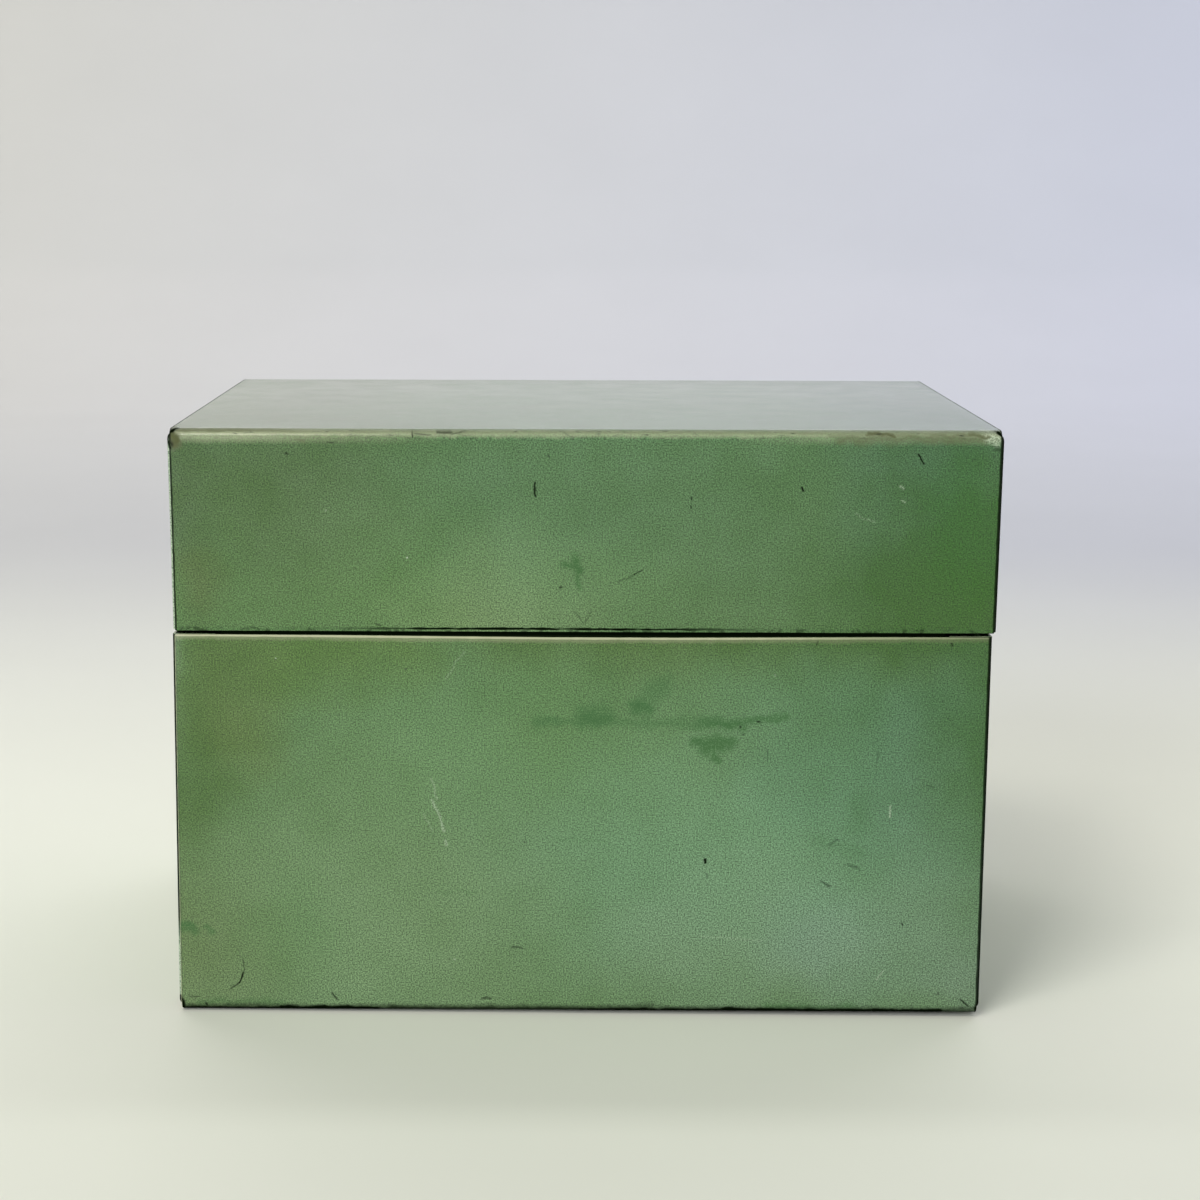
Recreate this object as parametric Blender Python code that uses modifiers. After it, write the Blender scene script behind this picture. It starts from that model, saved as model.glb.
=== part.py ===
# Recipe box for 5 by 3 inch cards, in enamelled sheet steel
#
# The base and the lid are each one sheet, bent over front, flat side and back, and closed by two
# pressed ends whose flanges lap inside the sheet. Three lip strips stand up inside the base, and
# the lid drops round them. A long hinge with curled knuckles and one pin joins the two at the back.
#
# x runs across the front, y from front to back and z up. The origin is the middle of the underside.

from math import cos, radians, sin

import bmesh
import bpy

# Overall sizes
BOX_WIDTH = 0.13335
BOX_DEPTH = 0.09525
BASE_HEIGHT = 0.0642
LID_HEIGHT = 0.0330
PARTING_GAP = 0.0006

# Sheet and its bends
SHEET = 0.0005
BASE_BEND = 0.0017
LID_BEND = 0.0020
END_INNER_BEND = 0.0002
END_REVEAL = 0.0005
FLANGE_WIDTH = 0.0070

# Lid against base
LID_SPARE = 0.0003
LID_OFFSET = 0.0004

# Lip strips
LIP_RISE = 0.0045
LIP_LAP = 0.0060
LIP_CORNER = 0.0015

# Hinge
PIN_RADIUS = 0.0008
LEAF_SHEET = 0.0005
LEAF_HEIGHT = 0.0100
KNUCKLE_COUNT = 9
CURL_TURN = 300

# Clearances
LAP_GAP = 0.0003
END_GAP = 0.0005
LIP_END_GAP = 0.0010
PIN_GAP = 0.0003
KNUCKLE_GAP = 0.0004
CUT_OVERRUN = 0.0020

# Roundness, in steps
BEND_STEPS = 6
END_BEND_STEPS = 4
CURL_STEPS = 24
PIN_SIDES = 24

# Heights and faces that follow from the sizes above
FRONT = -BOX_DEPTH / 2
BACK = BOX_DEPTH / 2
LID_BOTTOM = BASE_HEIGHT + PARTING_GAP
LID_TOP = LID_BOTTOM + LID_HEIGHT
LID_WIDTH = BOX_WIDTH + 2 * LID_SPARE
END_BEND = SHEET + END_INNER_BEND
LAP_INSET = SHEET + LAP_GAP
LIP_INSET = LAP_INSET

# The leaf lies inside the back, and its curl turns outwards, tangent to the leaf's inner face
KNUCKLE_RADIUS = PIN_RADIUS + PIN_GAP + LEAF_SHEET
HINGE_Y = BACK - LAP_INSET - LEAF_SHEET + KNUCKLE_RADIUS
HINGE_Z = BASE_HEIGHT + PARTING_GAP / 2
HINGE_LENGTH = BOX_WIDTH - 2 * (FLANGE_WIDTH + END_GAP)
KNUCKLE_PITCH = HINGE_LENGTH / KNUCKLE_COUNT
CURL_REACH = KNUCKLE_RADIUS + KNUCKLE_GAP


def clear_scene():
    for item in list(bpy.data.objects):
        bpy.data.objects.remove(item, do_unlink=True)


def new_collection(name):
    group = bpy.data.collections.new(name)
    bpy.context.scene.collection.children.link(group)
    return group


def linear(hex_colour):
    """Linear RGBA of an sRGB colour written as six hex digits."""
    shares = [int(hex_colour[i:i + 2], 16) / 255 for i in (0, 2, 4)]
    return [((c + 0.055) / 1.055) ** 2.4 if c > 0.04045 else c / 12.92 for c in shares] + [1.0]


def finish(name, hex_colour, roughness, metallic):
    material = bpy.data.materials.new(name)
    material.use_nodes = True
    shader = material.node_tree.nodes["Principled BSDF"]
    shader.inputs["Base Color"].default_value = linear(hex_colour)
    shader.inputs["Roughness"].default_value = roughness
    shader.inputs["Metallic"].default_value = metallic
    return material


def enamel(piece_name):
    """Baked enamel on steel, sage green, a material of its own for each piece."""
    return finish(f"enamel_{piece_name}", "6B8A60", 0.42, 0.0)


def pin_steel():
    """Drawn steel wire, dulled by age."""
    return finish("steel_hinge_pin", "8C8B86", 0.38, 1.0)


def place(name, mesh, group, material, parent=None):
    """Object for a mesh that is modelled in the box's own frame."""
    piece = bpy.data.objects.new(name, mesh)
    group.objects.link(piece)
    mesh.materials.append(material)
    if parent:
        piece.parent = parent
        piece.location = -parent.location
    return piece


def arc(centre, radius, start, turn, steps):
    """Points (y, z) along an arc, with angles in degrees from +y towards +z."""
    angles = [radians(start + turn * i / steps) for i in range(steps + 1)]
    return [(centre[0] + radius * cos(a), centre[1] + radius * sin(a)) for a in angles]


def bent_surface(name, path, x_low, x_high):
    """Open surface through a path of (y, z) points, drawn across from x_high to x_low."""
    bm = bmesh.new()
    corners = [bm.verts.new((x_high, y, z)) for y, z in path]
    edges = [bm.edges.new(pair) for pair in zip(corners, corners[1:])]
    drawn = bmesh.ops.extrude_edge_only(bm, edges=edges)["geom"]
    far = [item for item in drawn if isinstance(item, bmesh.types.BMVert)]
    bmesh.ops.translate(bm, verts=far, vec=(x_low - x_high, 0, 0))
    mesh = bpy.data.meshes.new(name)
    bm.to_mesh(mesh)
    bm.free()
    return mesh


def thicken(piece, thickness):
    """Sheet thickness behind the modelled outer face."""
    shell = piece.modifiers.new("sheet", "SOLIDIFY")
    shell.thickness = thickness
    shell.offset = -1
    shell.use_even_offset = True
    shell.use_quality_normals = True


def smooth(piece):
    piece.data.shade_smooth()
    piece.data.set_sharp_from_angle(angle=radians(35))


def box_mesh(name, low, high):
    bm = bmesh.new()
    bmesh.ops.create_cube(bm, size=1)
    size = [b - a for a, b in zip(low, high)]
    middle = [(a + b) / 2 for a, b in zip(low, high)]
    bmesh.ops.scale(bm, verts=bm.verts, vec=size)
    bmesh.ops.translate(bm, verts=bm.verts, vec=middle)
    mesh = bpy.data.meshes.new(name)
    bm.to_mesh(mesh)
    bm.free()
    return mesh


def cut(piece, name, boxes, group):
    """Takes away boxes, which stay clear of each other and form one cutter."""
    bm = bmesh.new()
    for low, high in boxes:
        block = box_mesh(name, low, high)
        bm.from_mesh(block)
        bpy.data.meshes.remove(block)
    mesh = bpy.data.meshes.new(name)
    bm.to_mesh(mesh)
    bm.free()
    cutter = bpy.data.objects.new(name, mesh)
    cutter.display_type = "WIRE"
    cutter.hide_render = True
    group.objects.link(cutter)
    if piece.parent:
        cutter.parent = piece.parent
        cutter.location = piece.location
    take = piece.modifiers.new(name, "BOOLEAN")
    take.operation = "DIFFERENCE"
    take.solver = "EXACT"
    take.object = cutter


# Shells

def base_path():
    """Outer face of the base sheet, down the front, along the floor and up the back."""
    front_bend = arc((FRONT + BASE_BEND, BASE_BEND), BASE_BEND, 180, 90, BEND_STEPS)
    back_bend = arc((BACK - BASE_BEND, BASE_BEND), BASE_BEND, 270, 90, BEND_STEPS)
    return [(FRONT, BASE_HEIGHT)] + front_bend + back_bend + [(BACK, BASE_HEIGHT)]


def lid_path():
    """Outer face of the lid sheet, up the back, along the top and down the front."""
    back_bend = arc((BACK - LID_BEND, LID_TOP - LID_BEND), LID_BEND, 0, 90, BEND_STEPS)
    front_bend = arc((FRONT + LID_BEND, LID_TOP - LID_BEND), LID_BEND, 90, 90, BEND_STEPS)
    return [(BACK, LID_BOTTOM)] + back_bend + front_bend + [(FRONT, LID_BOTTOM)]


def hinge_notch(low_z, high_z):
    """Box that opens the back wall for the knuckles, between two heights."""
    half = HINGE_LENGTH / 2 + END_GAP
    return (-half, BACK - LAP_INSET, low_z), (half, BACK + CUT_OVERRUN, high_z)


def base_wrap(group, cutters):
    half = BOX_WIDTH / 2 - END_REVEAL
    mesh = bent_surface("base_wrap", base_path(), -half, half)
    wrap = place("base_wrap", mesh, group, enamel("base_wrap"))
    thicken(wrap, SHEET)
    notch = hinge_notch(HINGE_Z - CURL_REACH, BASE_HEIGHT + CUT_OVERRUN)
    cut(wrap, "base_hinge_notch", [notch], cutters)
    smooth(wrap)


def lid_wrap(group, cutters, lid_axis):
    half = LID_WIDTH / 2 - END_REVEAL
    mesh = bent_surface("lid_wrap", lid_path(), LID_OFFSET - half, LID_OFFSET + half)
    wrap = place("lid_wrap", mesh, group, enamel("lid_wrap"), lid_axis)
    thicken(wrap, SHEET)
    notch = hinge_notch(LID_BOTTOM - CUT_OVERRUN, HINGE_Z + CURL_REACH)
    cut(wrap, "lid_hinge_notch", [notch], cutters)
    smooth(wrap)


def pressed_end(name, group, side, panel_x, closed_z, open_z, wrap_bend, parent=None):
    """End pressed as a shallow pan: a flat panel at panel_x with flanges on three sides.

    side is +1 on the right and -1 on the left. The flanges run along the front, the back and
    closed_z, and the pan is open at open_z, where the base and the lid meet. The flanges turn
    the two corners on the same centres as the wrap's bends.
    """
    flange_x = panel_x - side * FLANGE_WIDTH
    low = (min(panel_x, flange_x), FRONT + LAP_INSET, min(closed_z, open_z))
    high = (max(panel_x, flange_x), BACK - LAP_INSET, max(closed_z, open_z))
    mesh = box_mesh(name, low, high)
    bm = bmesh.new()
    bm.from_mesh(mesh)
    upward = 1 if open_z > closed_z else -1
    open_faces = [f for f in bm.faces if f.normal.x * side < -0.5 or f.normal.z * upward > 0.5]
    bmesh.ops.delete(bm, geom=open_faces, context="FACES")
    weights = bm.edges.layers.float.new("bevel_weight_edge")
    for edge in bm.edges:
        across = abs(edge.verts[0].co.x - edge.verts[1].co.x) > FLANGE_WIDTH / 2
        if across and len(edge.link_faces) == 2:
            edge[weights] = 1
    bm.to_mesh(mesh)
    bm.free()
    pan = place(name, mesh, group, enamel(name), parent)
    corners = pan.modifiers.new("corners", "BEVEL")
    corners.width = wrap_bend - LAP_INSET
    corners.segments = BEND_STEPS
    corners.limit_method = "WEIGHT"
    bends = pan.modifiers.new("bends", "BEVEL")
    bends.width = END_BEND
    bends.segments = END_BEND_STEPS
    bends.limit_method = "ANGLE"
    thicken(pan, SHEET)
    smooth(pan)


def base_ends(group):
    for side, name in ((-1, "base_end_left"), (1, "base_end_right")):
        pressed_end(name, group, side, side * BOX_WIDTH / 2, LAP_INSET, BASE_HEIGHT, BASE_BEND)


def lid_ends(group, lid_axis):
    for side, name in ((-1, "lid_end_left"), (1, "lid_end_right")):
        panel_x = LID_OFFSET + side * LID_WIDTH / 2
        top = LID_TOP - LAP_INSET
        pressed_end(name, group, side, panel_x, top, LID_BOTTOM, LID_BEND, lid_axis)


# Lip strips

def lip_outline(length):
    """Corners of a strip that stands on its long side, with its two upper corners rounded."""
    half = length / 2
    shoulder = LIP_RISE - LIP_CORNER
    right = arc((half - LIP_CORNER, shoulder), LIP_CORNER, 0, 90, BEND_STEPS)
    left = arc((LIP_CORNER - half, shoulder), LIP_CORNER, 90, 90, BEND_STEPS)
    return [(half, -LIP_LAP)] + right + left + [(-half, -LIP_LAP)]


def lip_strip(name, group, length, location, turn):
    """Flat strip about the height of the base's edge, facing along the turned y axis."""
    outline = bpy.data.curves.new(name, "CURVE")
    outline.dimensions = "2D"
    outline.fill_mode = "BOTH"
    outline.extrude = SHEET / 2
    line = outline.splines.new("POLY")
    corners = lip_outline(length)
    line.points.add(len(corners) - 1)
    for point, (across, up) in zip(line.points, corners):
        point.co = (across, up, 0, 1)
    line.use_cyclic_u = True
    outline.materials.append(enamel(name))
    strip = bpy.data.objects.new(name, outline)
    group.objects.link(strip)
    strip.rotation_euler = (radians(90), 0, radians(turn))
    strip.location = location


def lip_strips(group):
    front_length = BOX_WIDTH - 2 * (FLANGE_WIDTH + END_GAP)
    front_y = FRONT + LIP_INSET + SHEET / 2
    lip_strip("lip_front", group, front_length, (0, front_y, BASE_HEIGHT), 0)
    side_length = BOX_DEPTH - 2 * (LAP_INSET + SHEET + LIP_END_GAP)
    for side, name in ((-1, "lip_left"), (1, "lip_right")):
        side_x = side * (BOX_WIDTH / 2 - LIP_INSET - SHEET / 2)
        lip_strip(name, group, side_length, (side_x, 0, BASE_HEIGHT), 90)


# Hinge

def leaf_path(upward):
    """Outer face of a leaf and its curl. upward is +1 for a leaf that rises to the curl."""
    front = HINGE_Y - KNUCKLE_RADIUS
    far_edge = HINGE_Z - upward * LEAF_HEIGHT
    curl = arc((HINGE_Y, HINGE_Z), KNUCKLE_RADIUS, 180, -upward * CURL_TURN, CURL_STEPS)
    return [(front, far_edge)] + curl


def knuckle_cuts(first, low_z, high_z):
    """Boxes over every other knuckle, from the one numbered first, with its running gap."""
    start = -HINGE_LENGTH / 2
    boxes = []
    for i in range(first, KNUCKLE_COUNT, 2):
        low_x = start + i * KNUCKLE_PITCH - KNUCKLE_GAP / 2
        high_x = start + (i + 1) * KNUCKLE_PITCH + KNUCKLE_GAP / 2
        low = (low_x, HINGE_Y - KNUCKLE_RADIUS - CUT_OVERRUN, low_z)
        high = (high_x, HINGE_Y + KNUCKLE_RADIUS + CUT_OVERRUN, high_z)
        boxes.append((low, high))
    return boxes


def hinge_leaf_base(group, cutters):
    """Leaf in the base, which keeps the first, third and every other odd knuckle."""
    path = list(reversed(leaf_path(1)))
    mesh = bent_surface("hinge_leaf_base", path, -HINGE_LENGTH / 2, HINGE_LENGTH / 2)
    leaf = place("hinge_leaf_base", mesh, group, enamel("hinge_leaf_base"))
    thicken(leaf, LEAF_SHEET)
    top = HINGE_Z + KNUCKLE_RADIUS + CUT_OVERRUN
    cut(leaf, "base_knuckle_cuts", knuckle_cuts(1, HINGE_Z - CURL_REACH, top), cutters)
    smooth(leaf)


def hinge_leaf_lid(group, cutters, lid_axis):
    """Leaf in the lid, which keeps the even knuckles."""
    mesh = bent_surface("hinge_leaf_lid", leaf_path(-1), -HINGE_LENGTH / 2, HINGE_LENGTH / 2)
    leaf = place("hinge_leaf_lid", mesh, group, enamel("hinge_leaf_lid"), lid_axis)
    thicken(leaf, LEAF_SHEET)
    bottom = HINGE_Z - KNUCKLE_RADIUS - CUT_OVERRUN
    cut(leaf, "lid_knuckle_cuts", knuckle_cuts(0, bottom, HINGE_Z + CURL_REACH), cutters)
    smooth(leaf)


def hinge_pin(group):
    """Straight wire through all the knuckles, flush with the outer two."""
    bpy.ops.mesh.primitive_cylinder_add(vertices=PIN_SIDES, radius=PIN_RADIUS, depth=HINGE_LENGTH)
    pin = bpy.context.object
    pin.name = "hinge_pin"
    pin.rotation_euler = (0, radians(90), 0)
    pin.location = (0, HINGE_Y, HINGE_Z)
    pin.data.materials.append(pin_steel())
    for owner in list(pin.users_collection):
        owner.objects.unlink(pin)
    group.objects.link(pin)
    smooth(pin)


def build():
    clear_scene()
    group = new_collection("recipe_box")
    cutters = new_collection("cutters")
    lid_axis = bpy.data.objects.new("lid_hinge_axis", None)
    lid_axis.location = (0, HINGE_Y, HINGE_Z)
    group.objects.link(lid_axis)

    base_wrap(group, cutters)
    base_ends(group)
    lip_strips(group)
    hinge_leaf_base(group, cutters)
    hinge_pin(group)

    lid_wrap(group, cutters, lid_axis)
    lid_ends(group, lid_axis)
    hinge_leaf_lid(group, cutters, lid_axis)


build()
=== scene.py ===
# %% [markdown]
# # A recipe box in enamelled sheet steel
#
# This notebook gives a small steel file box its looks: two bent sheets, four pressed ends, three
# lip strips and a long hinge, all under one coat of old sage-green enamel. The box's places and
# motion are already settled, so everything here is made in the same frame, in metres, with the
# front facing -y and the underside on z = 0.

from math import cos, pi, radians, sin

import bmesh
import bpy
from mathutils import Matrix, Vector


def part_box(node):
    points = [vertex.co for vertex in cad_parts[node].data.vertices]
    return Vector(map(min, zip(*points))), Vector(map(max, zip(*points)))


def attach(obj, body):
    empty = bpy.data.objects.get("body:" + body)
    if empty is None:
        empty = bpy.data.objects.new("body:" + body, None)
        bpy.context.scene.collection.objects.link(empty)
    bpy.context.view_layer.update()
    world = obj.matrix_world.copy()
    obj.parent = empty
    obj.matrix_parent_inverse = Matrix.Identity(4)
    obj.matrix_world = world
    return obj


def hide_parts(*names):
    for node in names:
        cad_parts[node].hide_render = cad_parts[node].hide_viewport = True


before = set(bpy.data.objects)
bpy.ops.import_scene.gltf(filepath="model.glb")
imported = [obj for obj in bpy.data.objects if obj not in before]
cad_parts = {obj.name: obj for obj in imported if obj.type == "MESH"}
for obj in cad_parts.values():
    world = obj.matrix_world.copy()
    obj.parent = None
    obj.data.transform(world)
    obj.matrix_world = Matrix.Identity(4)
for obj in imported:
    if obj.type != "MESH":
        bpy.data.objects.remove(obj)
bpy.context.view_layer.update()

# %% [markdown]
# ## Sizes
#
# A steel box is drawn by a few numbers: how thick the sheet is, how tight it is bent, and where
# the two halves part. The halves' places are read from the frame, so that the finer pieces below
# land exactly where the plain ones are.

# %% Sizes
MM = 0.001
base_low, base_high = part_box("base_wrap")
lid_low, lid_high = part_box("lid_wrap")
pin_low, pin_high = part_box("hinge_pin")
lip_low, lip_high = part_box("lip_front")

FRONT = base_low.y
BACK = base_high.y
BASE_TOP = base_high.z
LID_BOTTOM = lid_low.z
LID_TOP = lid_high.z
LIP_LOW = lip_low.z
LIP_TOP = lip_high.z

SHEET = 0.0005
BASE_BEND = 0.0017
LID_BEND = 0.0020
LAP = 0.0008
FLANGE = 0.0070
END_BEND = 0.0007
RIM_ROUND = 0.00014
LEAF_RIM_ROUND = 0.0001
SHARP = radians(40)

HINGE_Y = (pin_low.y + pin_high.y) / 2
HINGE_Z = (pin_low.z + pin_high.z) / 2
HINGE_HALF = (pin_high.x - pin_low.x) / 2
PIN_RADIUS = (pin_high.z - pin_low.z) / 2
KNUCKLE_RADIUS = 0.0016
KNUCKLES = 9
KNUCKLE_GAP = 0.0004
LEAF_HEIGHT = 0.0100
NOTCH_HALF = HINGE_HALF + 0.0005
NOTCH_REACH = KNUCKLE_RADIUS + KNUCKLE_GAP
print("parting gap, mm:", round((LID_BOTTOM - BASE_TOP) / MM, 2))
print("lips, mm:", round(LIP_LOW / MM, 2), "to", round(LIP_TOP / MM, 2))

# %% [markdown]
# ## Small helpers
#
# Paint is mixed in sRGB hex values, but light is summed in linear ones, so one function turns
# the first into the second. Another adds a node to any tree and feeds its inputs, and every
# tree below is written with it. A list of feeds runs down the inputs as the node shows them: a Map
# Range's list is the value, the range that it comes from and the range that it goes to, and a
# noise's list is the place, the scale and the detail.

# %% Kinds of node that come up most
MATH = "ShaderNodeMath"
VECTOR_MATH = "ShaderNodeVectorMath"
MAP_RANGE = "ShaderNodeMapRange"
NOISE = "ShaderNodeTexNoise"
CELLS = "ShaderNodeTexVoronoi"
MIX = "ShaderNodeMix"
COMBINE = "ShaderNodeCombineXYZ"
SEPARATE = "ShaderNodeSeparateXYZ"


# %% Colours
def linear(hex_colour):
    """An sRGB hex value as red, green, blue and alpha in linear light."""
    shares = [int(hex_colour[i:i + 2], 16) / 255 for i in (0, 2, 4)]
    return [((c + 0.055) / 1.055) ** 2.4 if c > 0.04045 else c / 12.92 for c in shares] + [1.0]


print("mid grey in linear light:", round(linear("808080")[0], 3))


# %% Adding nodes
def feed(node, feeds):
    """Sets a node's inputs, given by name or as a list. Each is a value or what feeds it: an
    output, or a node, which stands for the first output that it shows."""
    if isinstance(feeds, dict):
        pairs = [(node.inputs[name], value) for name, value in feeds.items()]
    else:
        pairs = zip([socket for socket in node.inputs if socket.enabled], feeds)
    for socket, value in pairs:
        if isinstance(value, bpy.types.Node):
            value = next(output for output in value.outputs if output.enabled)
        if isinstance(value, bpy.types.NodeSocket):
            node.id_data.links.new(value, socket)
        else:
            socket.default_value = value


def add(tree, kind, feeds=(), **settings):
    """Adds one node, makes its settings and feeds its inputs."""
    node = tree.nodes.new(kind)
    for name, value in settings.items():
        setattr(node, name, value)
    feed(node, feeds)
    return node


def new_finish(name):
    """A new material, its tree and its shader."""
    material = bpy.data.materials.new(name)
    material.use_nodes = True
    tree = material.node_tree
    return material, tree, tree.nodes["Principled BSDF"]


# %% [markdown]
# ## Camera
#
# The box is seen a little from above with a long lens, as a shelf-high thing is photographed from
# a chair: from about 0.4 m away, 10 degrees down, almost square on. A small shift stands for a
# picture that was trimmed on one side.

# %% Camera
PICTURE = 1200
LENS_PIXELS = 2423.5
SENSOR = 36
EYE = (-0.00297, -0.43487, 0.13896)
ASIDE, DOWN, TILT = 0.57, 10.081, 0.113
camera = bpy.data.objects.new("camera", bpy.data.cameras.new("camera"))
camera.data.sensor_width = SENSOR
camera.data.lens = SENSOR * LENS_PIXELS / PICTURE
camera.data.shift_x = 0.05
camera.data.clip_start = 0.01
camera.data.clip_end = 50
camera.matrix_world = (
    Matrix.Translation(EYE)
    @ Matrix.Rotation(radians(ASIDE), 4, "Z")
    @ Matrix.Rotation(radians(90 - DOWN), 4, "X")
    @ Matrix.Rotation(radians(TILT), 4, "Z")
)
bpy.context.collection.objects.link(camera)
bpy.context.scene.camera = camera
bpy.context.scene.view_settings.view_transform = "Standard"
print("lens, mm:", round(camera.data.lens, 2))

# %% [markdown]
# ## Stage
#
# A photographer's sweep: one pale sheet that lies flat under the box and curves up a metre behind
# it, so no line shows where floor becomes wall. It is far enough back that the open lid never
# meets it.

# %% Paper for floor and backdrop
FAR_OFF = "D6D8DA"


def seen_rays(tree):
    """1 for rays that end in the lens, straight or by way of a mirror or a glass."""
    ray = add(tree, "ShaderNodeLightPath").outputs
    seen = add(tree, MATH, [ray["Is Camera Ray"], ray["Is Glossy Ray"]], operation="MAXIMUM")
    return add(tree, MATH, [seen, ray["Is Transmission Ray"]], operation="MAXIMUM")


def pale_paper(name, near_hex, left_hex, right_hex):
    """Matt paper: warm and pale underfoot, cooler from just behind the box, faintly mottled. Far
    in front and far to the sides, out of the lamps' reach, it fades into the pale grey beyond."""
    material, tree, shader = new_finish(name)
    place = add(tree, "ShaderNodeTexCoord").outputs["Object"]
    axes = add(tree, SEPARATE, [place]).outputs
    far = add(tree, MAP_RANGE, [axes["Y"], 0.05, 0.5], interpolation_type="SMOOTHSTEP")
    # The wall turns from warm at the left to cool at the right.
    side = add(tree, MAP_RANGE, [axes["X"], -0.5, 0.5])
    wall = add(tree, MIX, [side, linear(left_hex), linear(right_hex)], data_type="RGBA")
    tone = add(tree, MIX, [far, linear(near_hex), wall], data_type="RGBA")
    cloud = add(tree, NOISE, [place, 9.0])
    level = add(tree, MAP_RANGE, [cloud, 0.0, 1.0, 0.97, 1.03])
    mottled = add(tree, VECTOR_MATH, [tone, level], operation="SCALE")
    feed(shader, {"Base Color": mottled, "Roughness": 0.9, "Specular IOR Level": 0.1})
    aside = add(tree, MATH, [axes["X"]], operation="ABSOLUTE")
    aside = add(tree, MAP_RANGE, [aside, 1.2, 2.6], interpolation_type="SMOOTHSTEP")
    before = add(tree, MAP_RANGE, [axes["Y"], -0.7, -2.0], interpolation_type="SMOOTHSTEP")
    away = add(tree, MATH, [aside, before], operation="MAXIMUM")
    away = add(tree, MATH, [away, seen_rays(tree)], operation="MULTIPLY")
    beyond = add(tree, "ShaderNodeEmission", {"Color": linear(FAR_OFF)})
    faded = add(tree, "ShaderNodeMixShader", [away, shader, beyond])
    feed(tree.nodes["Material Output"], {"Surface": faded})
    return material


# %% Floor and backdrop in one sweep
def as_mesh(name, bm):
    """The mesh that bm holds. It frees bm."""
    mesh = bpy.data.meshes.new(name)
    bm.to_mesh(mesh)
    bm.free()
    return mesh


# The floor falls a hair to the right, so the box's right foot throws a fine black line on it.
FALL = 0.004
CLEAR = 0.05 * MM


def sweep_mesh(half_width, near_y, curve_y, radius, height, steps):
    """Flat floor to curve_y, a quarter turn, then a wall, all in one strip."""
    profile = [(near_y, 0.0), (curve_y, 0.0)]
    for i in range(1, steps + 1):
        turn = radians(90 * i / steps)
        profile.append((curve_y + radius * sin(turn), radius * (1 - cos(turn))))
    profile.append((curve_y + radius, height))
    bm = bmesh.new()
    left, right = [[bm.verts.new((x, y, z - CLEAR - FALL * (x - base_low.x))) for y, z in profile]
                   for x in (-half_width, half_width)]
    for i in range(len(profile) - 1):
        bm.faces.new((left[i], right[i], right[i + 1], left[i + 1]))
    mesh = as_mesh("sweep", bm)
    mesh.shade_smooth()
    return mesh


sweep = bpy.data.objects.new("sweep", sweep_mesh(half_width=4.0, near_y=-4.0, curve_y=0.95,
                                                 radius=0.6, height=2.6, steps=24))
sweep.data.materials.append(pale_paper("pale_paper", near_hex="DFE0D2", left_hex="B8B7AF",
                                       right_hex="B2B5BF"))
bpy.context.collection.objects.link(sweep)
print("floor and backdrop:", len(sweep.data.polygons), "strips")

# %% [markdown]
# ## Light
#
# Soft daylight: a large window light from the upper left and front, a broad overhead light that
# draws the pale line along the lid's front bend, and two panels at the back, one high and one low,
# that the lid's flat top mirrors. One more lamp lights the paper behind, a weak one at the right
# keeps that end from going dull, and an even sky fills the rest. The sky is shown to the lens as
# plain pale grey.


# %% Lamps
def soft_light(name, place, target, size, watts, hex_colour):
    lamp = bpy.data.lights.new(name, "AREA")
    lamp.shape = "RECTANGLE"
    lamp.size, lamp.size_y = size
    lamp.energy = watts
    lamp.color = linear(hex_colour)[:3]
    holder = bpy.data.objects.new(name, lamp)
    holder.location = place
    aim = Vector(target) - Vector(place)
    holder.rotation_euler = aim.to_track_quat("-Z", "Y").to_euler()
    bpy.context.collection.objects.link(holder)


# Each lamp's name, place and target, its width and height in metres, its watts and its colour.
soft_light("window", (-1.2, -1.9, 0.9), (0, 0, 0.05), (1.2, 1.2), 36.5, "F6F8FF")
soft_light("overhead", (-0.62, -0.85, 1.6), (0, 0, 0.05), (0.7, 0.6), 10, "FFFBF2")
soft_light("wall_light", (0.0, 0.8, 1.9), (0, 1.55, 1.0), (2.4, 0.5), 20, "FFFFFF")
soft_light("back_panel", (0.0, 1.35, 0.85), (0, 0, 0.1), (2.6, 1.0), 11, "F8F6FF")
soft_light("side_fill", (1.6, 0.25, 0.5), (0.07, 0, 0.05), (0.8, 0.8), 2, "FFFFFF")
soft_light("low_panel", (0.0, 1.2, 0.3), (0, 0, 0.1), (2.6, 0.4), 0.5, "FFE6F0")
print("lamps, W:", {lamp.name: round(lamp.energy, 2) for lamp in bpy.data.lights})

# %% Sky
sky = bpy.data.worlds.new("sky")
sky.use_nodes = True
bpy.context.scene.world = sky
sky_tree = sky.node_tree
sky_tree.nodes.clear()
lit = add(sky_tree, "ShaderNodeBackground", {"Color": linear("F2F5FA"), "Strength": 0.34})
shown = add(sky_tree, "ShaderNodeBackground", {"Color": linear(FAR_OFF), "Strength": 1.0})
either = add(sky_tree, "ShaderNodeMixShader", [seen_rays(sky_tree), lit, shown])
add(sky_tree, "ShaderNodeOutputWorld", {"Surface": either})
print("sky nodes:", len(sky_tree.nodes))

# %% [markdown]
# ## Marks that age leaves
#
# Scratches, specks and smears are each a short stroke: a line between two places on the panel,
# with a half width over which it fades. One node group measures how far a place is from such a
# line, and every mark is a use of it. The strokes' places are in millimetres on the box, x across
# and z up, on the front face.

# %% Node groups for shaders
VECTOR, NUMBER, COLOUR = "NodeSocketVector", "NodeSocketFloat", "NodeSocketColor"


def new_shader_group(name, inputs, outputs):
    """An empty shader group, what comes in, and the node that takes what goes out."""
    group = bpy.data.node_groups.new(name, "ShaderNodeTree")
    for label, kind in inputs:
        group.interface.new_socket(label, in_out="INPUT", socket_type=kind)
    for label, kind in outputs:
        group.interface.new_socket(label, in_out="OUTPUT", socket_type=kind)
    return group, add(group, "NodeGroupInput").outputs, add(group, "NodeGroupOutput")


# %% A stroke as a node group
# Depth counts for a seventh, so a mark lies over the rounded bends but never reaches the back.
FLATTEN = 0.15


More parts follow.
